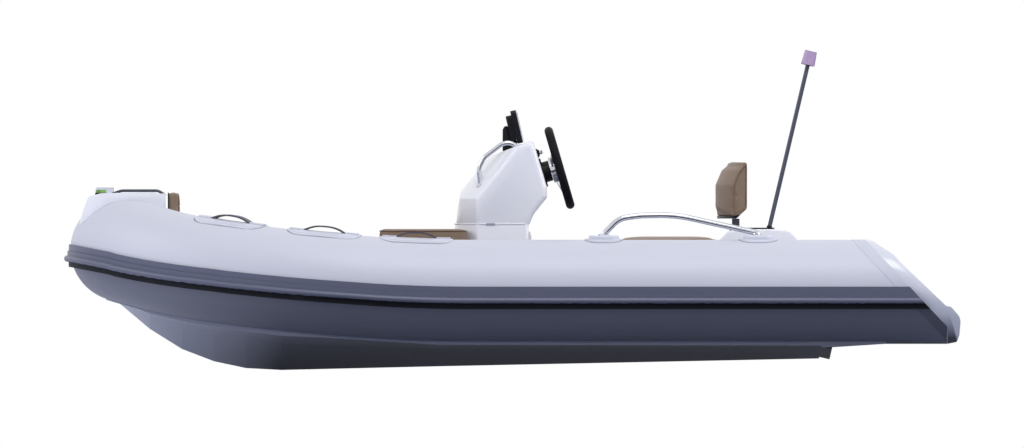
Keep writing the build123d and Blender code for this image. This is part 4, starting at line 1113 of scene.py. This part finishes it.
    def place_at(self, x: float, offset: float = 0.0) -> Matrix:
        """Place a frame on the axis at a given X, moved along the axis towards the stem."""
        places, runs = self.places(), [0.0]
        for start, end in zip(places, places[1:]):
            runs.append(runs[-1] + (end.translation - start.translation).length)
        xs = [m.translation.x for m in places]
        i = next(k for k in range(1, len(xs)) if xs[k] <= x)
        share = (xs[i - 1] - x) / max(1e-9, xs[i - 1] - xs[i])
        run = runs[i - 1] + (runs[i] - runs[i - 1]) * share + offset
        i = next((k for k in range(1, len(runs)) if runs[k] >= run), len(runs) - 1)
        share = (run - runs[i - 1]) / max(1e-9, runs[i] - runs[i - 1])
        return places[i - 1].lerp(places[i], share)

    def on_skin(self, x: float, offset: float, angle: float, lift: float = 0.0) -> Matrix:
        """Place a frame on the tube's skin: Z outwards, X towards the stem."""
        place = self.place_at(x, offset)
        turn = place.to_3x3()
        out = turn @ Vector((cos(angle), sin(angle), 0))
        return frame_matrix(place.translation + out * (self.radius + lift), turn @ UP, out)

    def wrapped(self, bm: BMesh, x: float, size: tuple[float, float], corner: float,
                lift: float, depth: float, shift: float = 0.0) -> None:
        """Wrap a rounded patch over the tube's crest.

        Args:
            bm: the bmesh that receives it.
            x: axis position of its middle.
            size: length along the tube and width round it.
            corner: rounding of its corners.
            lift: height of its underside above the skin.
            depth: its thickness.
            shift: distance of its middle along the tube from that position.
        """
        part = bmesh.new()
        half = Vector(size) / 2
        bmesh.ops.create_grid(part, x_segments=28, y_segments=16, size=1.0)
        radius = self.radius + lift + depth
        for vert in part.verts:
            flat = Vector((vert.co.x * half.x, vert.co.y * half.y))
            over = Vector((abs(flat.x) - half.x + corner, abs(flat.y) - half.y + corner))
            if over.x > 0 and over.y > 0:
                pull = max(over.x, over.y) / over.length
                flat.x = copysign(half.x - corner + over.x * pull, flat.x)
                flat.y = copysign(half.y - corner + over.y * pull, flat.y)
            angle = pi / 2 + flat.y / self.radius
            place = self.place_at(x, flat.x + shift)
            vert.co = place @ Vector((radius * cos(angle), radius * sin(angle), 0))
        bmesh.ops.recalc_face_normals(part, faces=part.faces[:])
        if sum(f.normal.z for f in part.faces) < 0:
            bmesh.ops.reverse_faces(part, faces=part.faces[:])
        bmesh.ops.solidify(part, geom=part.faces[:], thickness=depth)
        join(bm, part)

    def upper_patches(self) -> BMesh:
        """Lay the second, smaller patch on each handle's and rail's patch."""
        bm = bmesh.new()
        for x in self.handle_x:
            self.wrapped(bm, x, self.handle_patch[1], self.patch_corner[1], self.patch_t,
                         self.doubler_t)
            for way in (-1, 1):
                self.wrapped(bm, x, self.foot, corner=0.012,
                             lift=self.patch_t + self.doubler_t, depth=self.foot_t,
                             shift=way * self.foot_x)
        for x in self.rail_x:
            self.wrapped(bm, x, self.rail_patch[1], self.patch_corner[1], self.patch_t,
                         self.doubler_t)
        return bm

    def patch_edge_shade_lines(self) -> BMesh:
        """Draw a thin grey line round each packed patch, as painted shade at its edge."""
        bm = bmesh.new()
        for spots, sizes in ((self.handle_x, self.handle_patch), (self.rail_x, self.rail_patch)):
            size = (sizes[0][0] + 2 * self.edge_shade_w, sizes[0][1] + 2 * self.edge_shade_w)
            for x in spots:
                self.wrapped(bm, x, size, self.patch_corner[0], lift=0.0, depth=self.edge_shade_t)
        return bm

    def strap_stitches(self) -> BMesh:
        """Sew each strap's foot cover down with two rows of thread."""
        bm = bmesh.new()
        spots = [(x, way, row) for x in self.handle_x for way in (-1, 1)
                 for row in (-0.024, 0.024)]
        lift = self.patch_t + self.doubler_t + self.foot_t + 0.0002
        for x, way, row in spots:
            line = [self.on_skin(x, way * self.foot_x + t * 0.0045, pi / 2 + row / self.radius,
                                 lift).translation for t in range(-5, 6)]
            tube_along(bm, line, radius=0.0006, segments=6)
        return bm

    def inflation_valves(self) -> BMesh:
        """Screw an inflation valve into the inner side near each end."""
        bm = bmesh.new()
        for x in self.valve_x:
            skin = self.on_skin(x, 0.0, radians(self.valve_deg))
            boss(bm, skin, radius=0.034, depth=0.004, edge=0.002)
            boss(bm, raised(skin, 0.004), radius=0.024, depth=0.005, edge=0.002)
            for turn in range(6):
                slab(bm, skin @ Matrix.Rotation(turn * pi / 6, 4, "Z"), half=(0.022, 0.0015),
                     levels=(0.009, 0.0115), corner=0.001, edge=0.0005)
        return bm

    def hull_lip(self) -> BMesh:
        """Run the hull's moulded lip along the tube's underside."""
        bm = bmesh.new()
        angle = -pi / 2 + asin(self.lip_out / self.radius)
        spot = Vector((self.radius * cos(angle), self.radius * sin(angle), 0))
        line = [m @ spot for m in self.places() if m.translation.x < self.lip_aft_x]
        tube_along(bm, line, self.lip_r, segments=8)
        return bm

    def strake_lip_painted_shadow(self) -> BMesh:
        """Lay a black sheet over the strake's lip, below its bead, as painted shadow."""
        bm = node_bmesh("rubbing_strake")
        frames = self.places()
        near = KDTree(len(frames))
        for i, place in enumerate(frames):
            near.insert(place.translation, i)
        near.balance()
        spare = []
        for face in bm.faces:
            middle = face.calc_center_median()
            middle.y = -abs(middle.y)
            local = frames[near.find(middle)[1]].inverted() @ middle
            if local.y > self.lip_top or local.x < self.radius * 0.9:
                spare.append(face)
        bmesh.ops.delete(bm, geom=spare, context="FACES")
        bm.normal_update()
        bmesh.ops.solidify(bm, geom=bm.faces[:], thickness=-self.lip_t)
        return bm

    def grab_straps(self) -> BMesh:
        """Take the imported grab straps, a little thicker, as folded webbing is."""
        bm = node_bmesh("handles")
        for vert, normal in [(v, v.normal.copy()) for v in bm.verts]:
            vert.co += normal * self.strap_fold
        return bm

    def both_sides(self, make: Callable[[], BMesh], paint: Paint) -> None:
        """Finish a port piece and its mirror image as one piece, named as its method is."""
        bm = make()
        twin = bm.copy()
        mirror_port(twin)
        bmesh.ops.reverse_faces(twin, faces=twin.faces[:])
        join(bm, twin)
        finish_mesh(make.__name__, bm, [paint])

    def build(self) -> None:
        """Make both tubes, what is glued to them, and the strake."""
        for side, word in ((-1, "port"), (1, "starboard")):
            finish_mesh(f"collar_{word}", self.shell(side, self.radius),
                        [Paint.TUBE, Paint.TUBE_LOW], replaces=[f"tube_{word}"], sharp_deg=40)
            finish_mesh(f"stern_band_{word}", self.stern_band(side),
                        [Paint.TAPE, Paint.TAPE_LOW])
        self.both_sides(self.upper_patches, Paint.PATCH)
        # Painted shade: a grey line round each patch's edge.
        self.both_sides(self.patch_edge_shade_lines, Paint.PATCH_EDGE_SHADE)
        self.both_sides(self.strap_stitches, Paint.THREAD)
        self.both_sides(self.inflation_valves, Paint.BLACK)
        self.both_sides(self.hull_lip, Paint.GELCOAT_DARK)
        # Painted shadow: the strake's lip under its bead is laid over in black.
        show("strake_rubber", Paint.STRAKE_SHADOW_BLACK, self.strake_lip_painted_shadow)
        finish_mesh("grab_straps", self.grab_straps(), [Paint.WEBBING], replaces=["handles"],
                    sharp_deg=40)
        dress(Paint.RUBBER, "rubbing_strake")
        dress(Paint.PATCH, "patches")
        softened(Paint.CAP, "end_caps", width=0.003)


# ---- Hull, deck and transom -----------------------------------------------------------
@dataclass
class Hull:
    """The glassfibre hull, its deck mats, the transom and its fittings.

    Attributes:
        mat_areas: fore end, aft end, port edge and starboard edge of each deck mat.
        eye_bow: half width and height of a towing eye's foot, shoulder and top.
        plug: distance of the drain plug to starboard, and its height.
        behind_x: where the rays that find the transom's face start.
    """

    deck_z: float = 0.0704
    mat_t: float = 0.0035
    mat_areas: tuple[tuple[float, ...], ...] = (
        (-0.985, -0.600, -0.36, 0.36), (0.130, 0.420, -0.26, 0.26),
        (-0.560, 0.420, 0.325, 0.450), (-0.560, 0.420, -0.450, -0.325))
    eye_y: float = 0.36
    eye_z: float = 0.13
    eye_bow: tuple[tuple[float, float], ...] = ((0.022, 0.002), (0.022, 0.026), (0.012, 0.042))
    plug: tuple[float, float] = (0.16, 0.105)
    behind_x: float = 2.5

    def deck_mats(self) -> BMesh:
        """Lay foam mats on the parts of the deck that are walked on."""
        bm = bmesh.new()
        for x0, x1, y0, y1 in self.mat_areas:
            plate(bm, (x0, y0, self.deck_z), (x1, y1, self.deck_z + self.mat_t), corner=0.03)
        return bm

    def tow_eyes(self) -> BMesh:
        """Bolt a towing eye to each side of the transom."""
        bm = bmesh.new()
        bow = [Vector((-x, 0, z)) for x, z in self.eye_bow]
        bow += [Vector((x, 0, z)) for x, z in reversed(self.eye_bow)]
        for y in (-self.eye_y, self.eye_y):
            place = landing("transom", (self.behind_x, y, self.eye_z), FORE)
            slab(bm, place, half=(0.035, 0.016), levels=(0, 0.003), corner=0.012)
            tube_along(bm, rounded_path([place @ p for p in bow], reach=0.012), radius=0.004)
        return bm

    def drain_plug(self) -> BMesh:
        """Fit the drain plug low on the transom."""
        bm = bmesh.new()
        place = landing("transom", (self.behind_x, *self.plug), FORE)
        boss(bm, place, radius=0.024, depth=0.004, edge=0.0015)
        boss(bm, raised(place, 0.004), radius=0.013, depth=0.009, edge=0.002)
        return bm

    def build(self) -> None:
        """Dress the hull and make its fittings."""
        dress(Paint.GELCOAT_DARK, "hull", "flange_tails")
        dress(Paint.DECK, "deck")
        dress(Paint.TRANSOM, "transom")
        dress(Paint.BLACK, "motor_pads")
        show("deck_white", Paint.MAT, self.deck_mats)
        show("stainless", Paint.STEEL, self.tow_eyes)
        show("fitting_black", Paint.BLACK, self.drain_plug)


# ---- Bow ------------------------------------------------------------------------------
@dataclass
class Bow:
    """The bow moulding with its light and rails, and the bow seat's locker.

    Attributes:
        cover: corners of the light's cover plate, and bracket those of its bracket.
    """

    rail_y: float = 0.130
    rail_ends: tuple[float, float] = (-1.712, -1.478)
    cover: tuple[tuple[float, ...], ...] = ((-1.768, -0.029, 0.6318), (-1.697, 0.029, 0.6345))
    bracket: tuple[tuple[float, ...], ...] = (
        (-1.6995, -0.025, 0.6120), (-1.6930, 0.025, 0.6340))

    def bow_rail_flanges(self) -> BMesh:
        """Put a round flange at each end of the low rails."""
        bm = bmesh.new()
        for x in self.rail_ends:
            for y in (-self.rail_y, self.rail_y):
                place = landing("bow_step", (x, y, 1.0), DOWN, AFT)
                if place is not None:
                    boss(bm, place, radius=0.011, depth=0.002, edge=0.0008)
        return bm

    def nav_cover(self) -> BMesh:
        """Put the pale cover plate on the light."""
        bm = bmesh.new()
        plate(bm, *self.cover, corner=0.008, edge=0.0008)
        return bm

    def nav_bracket(self) -> BMesh:
        """Stand the light's black bracket behind it."""
        bm = bmesh.new()
        plate(bm, *self.bracket, corner=0.002, edge=0.0008)
        return bm

    def build(self) -> None:
        """Make and dress the bow's pieces."""
        softened(Paint.GELCOAT, "bow_step", width=0.004)
        softened(Paint.GELCOAT, "bow_locker", width=0.003)
        softened(Paint.GELCOAT, "bow_lid", width=0.002, body="bow_seat")
        show("stainless", Paint.STEEL, self.bow_rail_flanges)
        show("fitting_white", Paint.SHADE_PLASTIC, self.nav_cover)
        show("fitting_black", Paint.BLACK, self.nav_bracket)
        dress(Paint.DARK_STEEL, "bow_rails")
        dress(Paint.BLACK, "nav_base")
        dress(Paint.WHITE_PLASTIC, "nav_body")
        dress(Paint.GREEN, "nav_lens_port")
        dress(Paint.RED, "nav_lens_starboard")


# ---- Console --------------------------------------------------------------------------
@dataclass
class Console:
    """The steering console with its rails, dash, display and hatch.

    Attributes:
        half: half the console's width, and aft_x its aft face.
        seam_z: height of the joint of its two mouldings.
        hatch_y: half the hatch's width, and hatch_z its foot and top.
        hatch_lip: thickness of its rim; its middle stands hatch_t proud, hatch_in inside.
        rail_ends: ends of the rails in X and Z.
        screen_deg: how far the display leans back.
    """

    half: float = 0.270
    aft_x: float = 0.069
    seam_z: float = 0.480
    gasket_r: float = 0.0022
    latch_x: tuple[float, float] = (-0.112, -0.074)
    hatch_y: float = 0.150
    hatch_z: tuple[float, float] = (0.130, 0.448)
    hatch_t: float = 0.011
    hatch_lip: float = 0.007
    hatch_in: float = 0.014
    rail_y: float = 0.204
    rail_ends: tuple[tuple[float, float], ...] = ((-0.134, 0.645), (0.042, 0.797))
    screen_deg: float = 12.9
    switch_y: float = -0.118
    switch_step: float = 0.038
    key_y: float = 0.135

    def console_gasket(self) -> BMesh:
        """Run a pale rubber gasket round the joint of the two mouldings."""
        loop = face_outline("console_base", UP)
        middle = sum(loop, Vector()) / len(loop)
        line = relax(resample(loop, spacing=0.012), rounds=1)
        for point in line:
            way = Vector((point.x - middle.x, point.y - middle.y, 0)).normalized()
            point += way * 0.0008
            point.z = self.seam_z
        bm = bmesh.new()
        tube_along(bm, line, self.gasket_r, segments=8, closed=True)
        return bm

    def console_latches(self) -> BMesh:
        """Fit a small toggle latch over the joint on each side."""
        bm = bmesh.new()
        fore, aft = self.latch_x
        for way in (-1, 1):
            place = frame_matrix(Vector(((fore + aft) / 2, way * self.half, self.seam_z)), AFT,
                                 STARBOARD * way)
            slab(bm, place, half=((aft - fore) / 2, 0.0045), levels=(0, 0.004), corner=0.003)
        return bm

    def console_hatch(self) -> BMesh:
        """Hang the access hatch on the console's aft face."""
        bm = bmesh.new()
        low, high = self.hatch_z
        place = frame_matrix(Vector((self.aft_x, 0, (low + high) / 2)), STARBOARD, AFT)
        half = Vector((self.hatch_y, (high - low) / 2))
        slab(bm, place, half, levels=(-0.002, self.hatch_lip), corner=0.03, edge=0.002)
        slab(bm, place, half - Vector((self.hatch_in, self.hatch_in)),
             (self.hatch_lip, self.hatch_t), corner=0.02, edge=0.002)
        return bm

    def hatch_fittings(self) -> BMesh:
        """Fit two turn latches and two hinges to the hatch."""
        bm = bmesh.new()
        low, high = self.hatch_z
        for z in (low + 0.07, high - 0.07):
            for y, size in ((-self.hatch_y + 0.04, 0.013), (self.hatch_y - 0.03, 0.009)):
                place = frame_matrix(Vector((self.aft_x + self.hatch_t, y, z)), STARBOARD, AFT)
                boss(bm, place, size, depth=0.003)
                slab(bm, place, half=(size, 0.003), levels=(0.003, 0.006), corner=0.002,
                     edge=0.0008)
        return bm

    def console_rail_flanges(self) -> BMesh:
        """Put a round flange where each rail meets the moulding."""
        bm = bmesh.new()
        for x, z in self.rail_ends:
            for y in (-self.rail_y, self.rail_y):
                spot, normal, _, _ = surface_of("console_upper").find_nearest(Vector((x, y, z)))
                boss(bm, frame_matrix(spot, STARBOARD, normal), radius=0.019, depth=0.003)
        return bm

    def dash_place(self, across: float = 0.0, lift: float = 0.0) -> Matrix:
        """Place a frame on the dash panel's face, Y up it, a distance along its X."""
        bm = node_bmesh("dash_panel")
        face = max(bm.faces, key=lambda f: f.calc_area() * (f.normal.x > 0))
        place = frame_matrix(face.calc_center_median(), STARBOARD, face.normal)
        bm.free()
        return place @ Matrix.Translation((across, 0, lift))

    def dash_switches(self) -> BMesh:
        """Set six rockers and a key barrel in the dash panel."""
        bm = bmesh.new()
        for i in range(6):
            place = self.dash_place(self.switch_y + i * self.switch_step)
            slab(bm, place, half=(0.012, 0.0145), levels=(0, 0.0022), corner=0.003, edge=0.0006)
            slab(bm, raised(place, 0.0022) @ Matrix.Rotation(0.12, 4, "X"), half=(0.0085, 0.0115),
                 levels=(-0.001, 0.003), corner=0.002, edge=0.0008)
        boss(bm, self.dash_place(self.key_y), radius=0.013, depth=0.004)
        return bm

    def ignition_key(self) -> BMesh:
        """Leave the key's steel barrel in its hole."""
        bm = bmesh.new()
        barrel = self.dash_place(self.key_y, 0.004)
        boss(bm, barrel, radius=0.008, depth=0.003, edge=0.0008)
        slab(bm, barrel, half=(0.0012, 0.008), levels=(0.003, 0.016), corner=0.0008, edge=0.0004)
        return bm

    def display(self) -> None:
        """Dress the display: pale bezel, black glass and side knobs."""
        tilt = radians(self.screen_deg)
        way = Vector((cos(tilt), 0, sin(tilt)))
        finish_mesh("plotter_bezel", face_plate("plotter", way, inset=0.0015, depth=0.0035),
                    [Paint.WHITE_PLASTIC])
        glass = face_plate("plotter", way, inset=0.011, depth=0.0012, lift=0.0035)
        finish_mesh("plotter_glass", glass, [Paint.SCREEN])
        softened(Paint.BLACK, "plotter", width=0.002)
        softened(Paint.BLACK, "plotter_stand", width=0.004)

    def build(self) -> None:
        """Make and dress the console's pieces."""
        softened(Paint.GELCOAT, "console_base", width=0.004)
        softened(Paint.GELCOAT, "console_upper", width=0.003, degrees=24)
        show("fitting_white", Paint.GASKET, self.console_gasket)
        show("fitting_white", Paint.SHADE_PLASTIC, self.console_latches)
        show("gelcoat_white", Paint.GELCOAT, self.console_hatch)
        show("fitting_black", Paint.BLACK, self.hatch_fittings)
        show("stainless", Paint.STEEL, self.console_rail_flanges)
        show("fitting_black", Paint.BLACK, self.dash_switches)
        show("stainless", Paint.STEEL, self.ignition_key)
        self.display()
        dress(Paint.STEEL, "console_rails")
        dress(Paint.BLACK, "dash_panel", "helm")


# ---- Steering wheel -------------------------------------------------------------------
@dataclass
class Wheel:
    """The steering wheel's dressing: padded rim, steel spokes, plain cap.

    Attributes:
        centre: middle of the rim's plane, and tilt_deg how far the shaft rises aft.
        radius: of the rim's middle, and grip_r of its section.
    """

    centre: tuple[float, float, float] = (0.1996, 0.0, 0.7184)
    tilt_deg: float = 16.3
    radius: float = 0.1625
    grip_r: float = 0.0185
    seam_r: float = 0.0011
    screw_r: float = 0.0485

    def place(self) -> Matrix:
        """Place a frame on the rim's plane, with Z aft along the shaft."""
        tilt = radians(self.tilt_deg)
        return frame_matrix(Vector(self.centre), STARBOARD, Vector((cos(tilt), 0, sin(tilt))))

    def wheel_seam(self) -> BMesh:
        """Sew the grip's cover together along the rim's inner side."""
        bm = bmesh.new()
        place = self.place()
        inner = self.radius - self.grip_r - 0.0002
        line = [place @ Vector((inner * cos(a), inner * sin(a), 0.0))
                for a in (2 * pi * i / 120 for i in range(120))]
        tube_along(bm, line, self.seam_r, segments=6, closed=True)
        return bm

    def wheel_screws(self) -> BMesh:
        """Fix the spoke plate to the hub with six screws."""
        bm = bmesh.new()
        place = self.place()
        for i in range(6):
            a = pi / 6 + i * pi / 3
            start = place @ Vector((self.screw_r * cos(a), self.screw_r * sin(a), 0.05))
            spot = landing("wheel_spokes", start, -(place.to_3x3() @ UP))
            if spot is not None:
                boss(bm, spot, radius=0.0042, depth=0.0018, edge=0.0006, segments=16)
        return bm

    def build(self) -> None:
        """Dress the wheel's nodes and add its small parts."""
        dress(Paint.GRIP, "wheel_rim")
        dress(Paint.STEEL, "wheel_spokes")
        softened(Paint.BLACK, "wheel_cap", width=0.0025, body="steering_wheel")
        show("grip_black", Paint.BLACK, self.wheel_seam, body="steering_wheel")
        show("stainless", Paint.STEEL, self.wheel_screws, body="steering_wheel")


# ---- Seats and stern ------------------------------------------------------------------
@dataclass
class Stern:
    """The seat boxes, the aft moulding, and the fittings that stand on it and the tubes.

    Attributes:
        post: place of the backrest's posts in X and off the middle in Y.
        pole: foot and top of the light pole's axis; the lamp's foot is lamp_down under
            its middle.
        latched: boxes with a latch, and the way that it looks along X.
    """

    post: tuple[float, float] = (0.948, 0.120)
    cleat_x: tuple[float, float] = (0.993, 1.077)
    cleat_y: float = 0.330
    cleat_z: float = 0.4612
    side_y: float = 0.660
    rail_feet: tuple[float, ...] = (0.385, 1.044)
    pole: tuple[tuple[float, ...], ...] = ((1.089, -0.230, 0.458), (1.254, -0.230, 1.156))
    lamp_down: float = 0.0318
    latched: tuple[tuple[str, int], ...] = (
        ("front_seat_box", -1), ("helm_seat_box", -1), ("bow_locker", 1))
    latch_down: float = 0.07

    def seat_latches(self) -> BMesh:
        """Fit a pull latch to each seat box under its lid."""
        bm = bmesh.new()
        for node, way in self.latched:
            low, high = node_box(node)
            start = (low.x - 0.5 if way < 0 else high.x + 0.5, 0, high.z - self.latch_down)
            face = landing(node, start, FORE * way)
            if face is not None:
                place = frame_matrix(face.translation, STARBOARD, AFT * way)
                slab(bm, place, half=(0.030, 0.022), levels=(-0.001, 0.003), corner=0.008)
                plate(bm, low=(-0.020, -0.012, 0.003), high=(0.020, 0.014, 0.006),
                      corner=0.005, place=place)
        return bm

    def cleat_bars(self) -> BMesh:
        """Set a steel bar across each flush cleat's pocket."""
        bm = bmesh.new()
        for y in (-self.cleat_y, self.cleat_y):
            line = [Vector((x, y, self.cleat_z)) for x in self.cleat_x]
            tube_along(bm, resample(line, spacing=0.01, closed=False), radius=0.0035)
        return bm

    def post_collars(self) -> BMesh:
        """Put a ring at the foot of each backrest post."""
        bm = bmesh.new()
        x, half = self.post
        for y in (-half, half):
            place = landing("aft_moulding", (x, y, 0.495), DOWN, AFT)
            boss(bm, place, radius=0.026, depth=0.006, edge=0.0015)
        return bm

    def pole_rim(self) -> BMesh:
        """Trim the pole's foot plate with a thin steel rim."""
        bm = bmesh.new()
        line = resample(face_outline("pole_base", UP), spacing=0.006)
        tube_along(bm, line, radius=0.0012, segments=8, closed=True)
        return bm

    def rail_screws(self) -> BMesh:
        """Fix each side rail's flange with three screws."""
        bm = bmesh.new()
        spots = [(x, y, pi / 2 + i * 2 * pi / 3) for x in self.rail_feet
                 for y in (-self.side_y, self.side_y) for i in range(3)]
        for x, y, a in spots:
            start = (x + 0.0185 * cos(a), y + 0.0185 * sin(a), 0.4395)
            place = landing("side_rails", start, DOWN, AFT)
            if place is not None and place.col[2].z > 0.9:
                boss(bm, place, radius=0.003, depth=0.0012, edge=0.0004, segments=12)
        return bm

    def lamp_foot(self) -> BMesh:
        """Close the lamp with a dark ring at its foot."""
        bm = bmesh.new()
        foot, top = (Vector(end) for end in self.pole)
        axis = (top - foot).normalized()
        middle = sum(node_box("pole_lamp"), Vector()) / 2
        place = frame_matrix(middle - axis * self.lamp_down, STARBOARD, axis)
        boss(bm, place, radius=0.027, depth=0.003)
        return bm

    def build(self) -> None:
        """Make and dress the seats' boxes and the stern's pieces."""
        softened(Paint.GELCOAT, "front_seat_box", "helm_seat_box", width=0.004)
        softened(Paint.GELCOAT, "front_lid", width=0.002, body="front_seat")
        softened(Paint.GELCOAT, "helm_lid", width=0.002, body="helm_seat")
        softened(Paint.GELCOAT, "aft_moulding", width=0.006)
        show("fitting_white", Paint.SHADE_PLASTIC, self.seat_latches)
        show("stainless", Paint.STEEL, self.cleat_bars)
        show("fitting_black", Paint.BLACK, self.post_collars)
        show("stainless", Paint.STEEL, self.pole_rim, self.rail_screws)
        show("fitting_black", Paint.BLACK, self.lamp_foot)
        dress(Paint.BLACK, "stern_cleats")
        dress(Paint.GREY_METAL, "backrest_posts", "light_pole")
        dress(Paint.FROST, "pole_lamp")
        softened(Paint.BLACK, "pole_base", width=0.0015)
        dress(Paint.STEEL, "side_rails")
        softened(Paint.WHITE_PLASTIC, "rail_bases", width=0.003)


# ---- Studio ---------------------------------------------------------------------------
@dataclass
class Studio:
    """The camera, the soft light and the pale floor.

    Attributes:
        metres_wide: what the camera takes in from a distance back to port.
        lamps: name, place and watts of each lamp, a square of side lamp_size.
        sky_low: strength of the even light from the horizon, and sky_high from above.
        bounce: the floor's colour as the underside sees it.
        bow_glow: strength of the glow that the floor gives off ahead of the bow, for the boat's
            rays only, which grows over bow_reach; it is painted light from no lamp.
        mirror: strength of the floor's image in gloss, and bow_gloss_glow ahead of the bow, where
            the floor's glow is a painted reflection in the boat's gloss.
    """

    metres_wide: float = 4.348
    aim_x: float = -0.002
    aim_z: float = 0.480
    back: float = 12.0
    lamps: tuple[tuple[str, tuple[float, ...], float], ...] = (
        ("key", (0.4, -4.1, 6.1), 172.0), ("fore", (-6.0, -1.2, 4.0), 68.0),
        ("aft", (6.5, -1.5, 2.8), 135.0))
    lamp_size: float = 3.0
    sky_low: float = 0.36
    sky_high: float = 0.57
    sky_rise: tuple[float, float] = (0.02, 0.35)
    floor_z: float = -0.1405
    floor_half: float = 20.0
    bounce: str = "#b0b4c4"
    bow_glow: float = 0.75
    bow_reach: tuple[float, float] = (-1.00, -1.75)
    mirror: float = 0.12
    bow_gloss_glow: float = 1.0

    def build(self) -> None:
        """Set up the camera, the world, three large lamps and the floor."""
        scene = bpy.context.scene
        scene.view_settings.view_transform = "Standard"
        lens = bpy.data.cameras.new("camera")
        lens.type = "ORTHO"
        lens.ortho_scale = self.metres_wide
        camera = bpy.data.objects.new("camera", lens)
        camera.location = (self.aim_x, -self.back, self.aim_z)
        camera.rotation_euler = (pi / 2, 0, 0)
        scene.collection.objects.link(camera)
        scene.camera = camera
        self.world()
        for name, place, watts in self.lamps:
            self.lamp(name, place, watts)
        self.floor()

    def world(self) -> None:
        """Light evenly from all round, and show white behind the object."""
        world = bpy.data.worlds.new("studio")
        bpy.context.scene.world = world
        world.use_nodes = True
        tree = world.node_tree
        tree.nodes.clear()
        rays = add_node(tree, "LightPath")
        direct = add_node(tree, "Math", {"operation": "MAXIMUM"}, {
            0: rays.outputs["Is Camera Ray"], 1: rays.outputs["Is Transmission Ray"]})
        seen = add_node(tree, "Math", {"operation": "MAXIMUM"}, {
            0: direct.outputs[0], 1: rays.outputs["Is Glossy Ray"]})
        sky = add_node(tree, "TexCoord").outputs["Generated"]
        height = add_node(tree, "SeparateXYZ", links={"Vector": sky}).outputs["Z"]
        level = add_ramp(tree, height, *self.sky_rise, self.sky_low, self.sky_high)
        level.interpolation_type = "SMOOTHSTEP"
        light = add_node(tree, "Background", {"Color": linear("#e8eaf8")},
                         {"Strength": level.outputs["Result"]})
        white = add_node(tree, "Background", {"Color": (1, 1, 1, 1), "Strength": 1.0})
        mix = add_node(tree, "MixShader", links={
            0: seen.outputs[0], 1: light.outputs[0], 2: white.outputs[0]})
        add_node(tree, "OutputWorld", links={"Surface": mix.outputs[0]})

    def lamp(self, name: str, place: Sequence[float], watts: float) -> None:
        """Hang one square lamp that faces the boat."""
        data = bpy.data.lights.new(name, "AREA")
        data.size, data.energy = self.lamp_size, watts
        lamp = bpy.data.objects.new(name, data)
        lamp.location = place
        lamp.rotation_euler = (-Vector(place)).to_track_quat("-Z", "Y").to_euler()
        bpy.context.scene.collection.objects.link(lamp)

    def floor(self) -> None:
        """Lay a pale floor just under the keel."""
        bm = bmesh.new()
        bmesh.ops.create_grid(bm, x_segments=1, y_segments=1, size=self.floor_half,
                              matrix=Matrix.Translation((0, 0, self.floor_z)))
        floor = new_object("floor", bm)
        floor.data.materials.append(self.floor_paint())

    def floor_paint(self) -> Material:
        """Paint the floor for each kind of ray.

        The camera sees a pale matt floor, which keeps the boat's shadow. The boat's own
        surfaces see a quieter one, so that the dark hull keeps its contrast; ahead of the bow
        it glows, which is painted light on the bow's underside, from no lamp, and a painted
        reflection in its gloss.
        """
        material = Finish("matt_studio_floor", "#eceef2", 0.8, mottle=0.004).build()
        tree = material.node_tree
        shown = tree.nodes["Principled BSDF"]
        place = add_node(tree, "TexCoord").outputs["Object"]
        along = add_node(tree, "SeparateXYZ", links={"Vector": place}).outputs["X"]
        # Painted light: ahead of the bow the floor glows for the boat's rays, though it is no lamp.
        ahead = add_ramp(tree, along, *self.bow_reach, high=self.bow_glow)
        glow = add_node(tree, "Emission", {"Color": linear("#eceef6")},
                        {"Strength": ahead.outputs["Result"]})
        matt = add_node(tree, "BsdfDiffuse", {"Color": linear(self.bounce)})
        quiet = add_node(tree, "AddShader", links={0: matt.outputs[0], 1: glow.outputs[0]})
        rays = add_node(tree, "LightPath")
        # Painted reflection: for gloss rays the floor glows, brighter ahead of the bow.
        shine = add_ramp(tree, along, *self.bow_reach, self.mirror, self.bow_gloss_glow)
        pale = add_node(tree, "Emission", {"Color": linear("#c8cce0")},
                        {"Strength": shine.outputs["Result"]})
        under = add_node(tree, "MixShader", links={
            0: rays.outputs["Is Glossy Ray"], 1: quiet.outputs[0], 2: pale.outputs[0]})
        mix = add_node(tree, "MixShader", links={
            0: rays.outputs["Is Camera Ray"], 1: under.outputs[0], 2: shown.outputs[0]})
        end = next(n for n in tree.nodes if n.type == "OUTPUT_MATERIAL")
        tree.links.new(mix.outputs[0], end.inputs["Surface"])
        return material


def main() -> None:
    """Build the studio and every sub-assembly in order."""
    Studio().build()
    for part in (Collar(), Hull(), Bow(), Console(), Wheel(), Stern(), Upholstery()):
        LOG.info("-- %s", type(part).__name__)
        part.build()


if __name__ == "__main__":
    logging.basicConfig(level=logging.INFO, format="%(message)s")
    main()
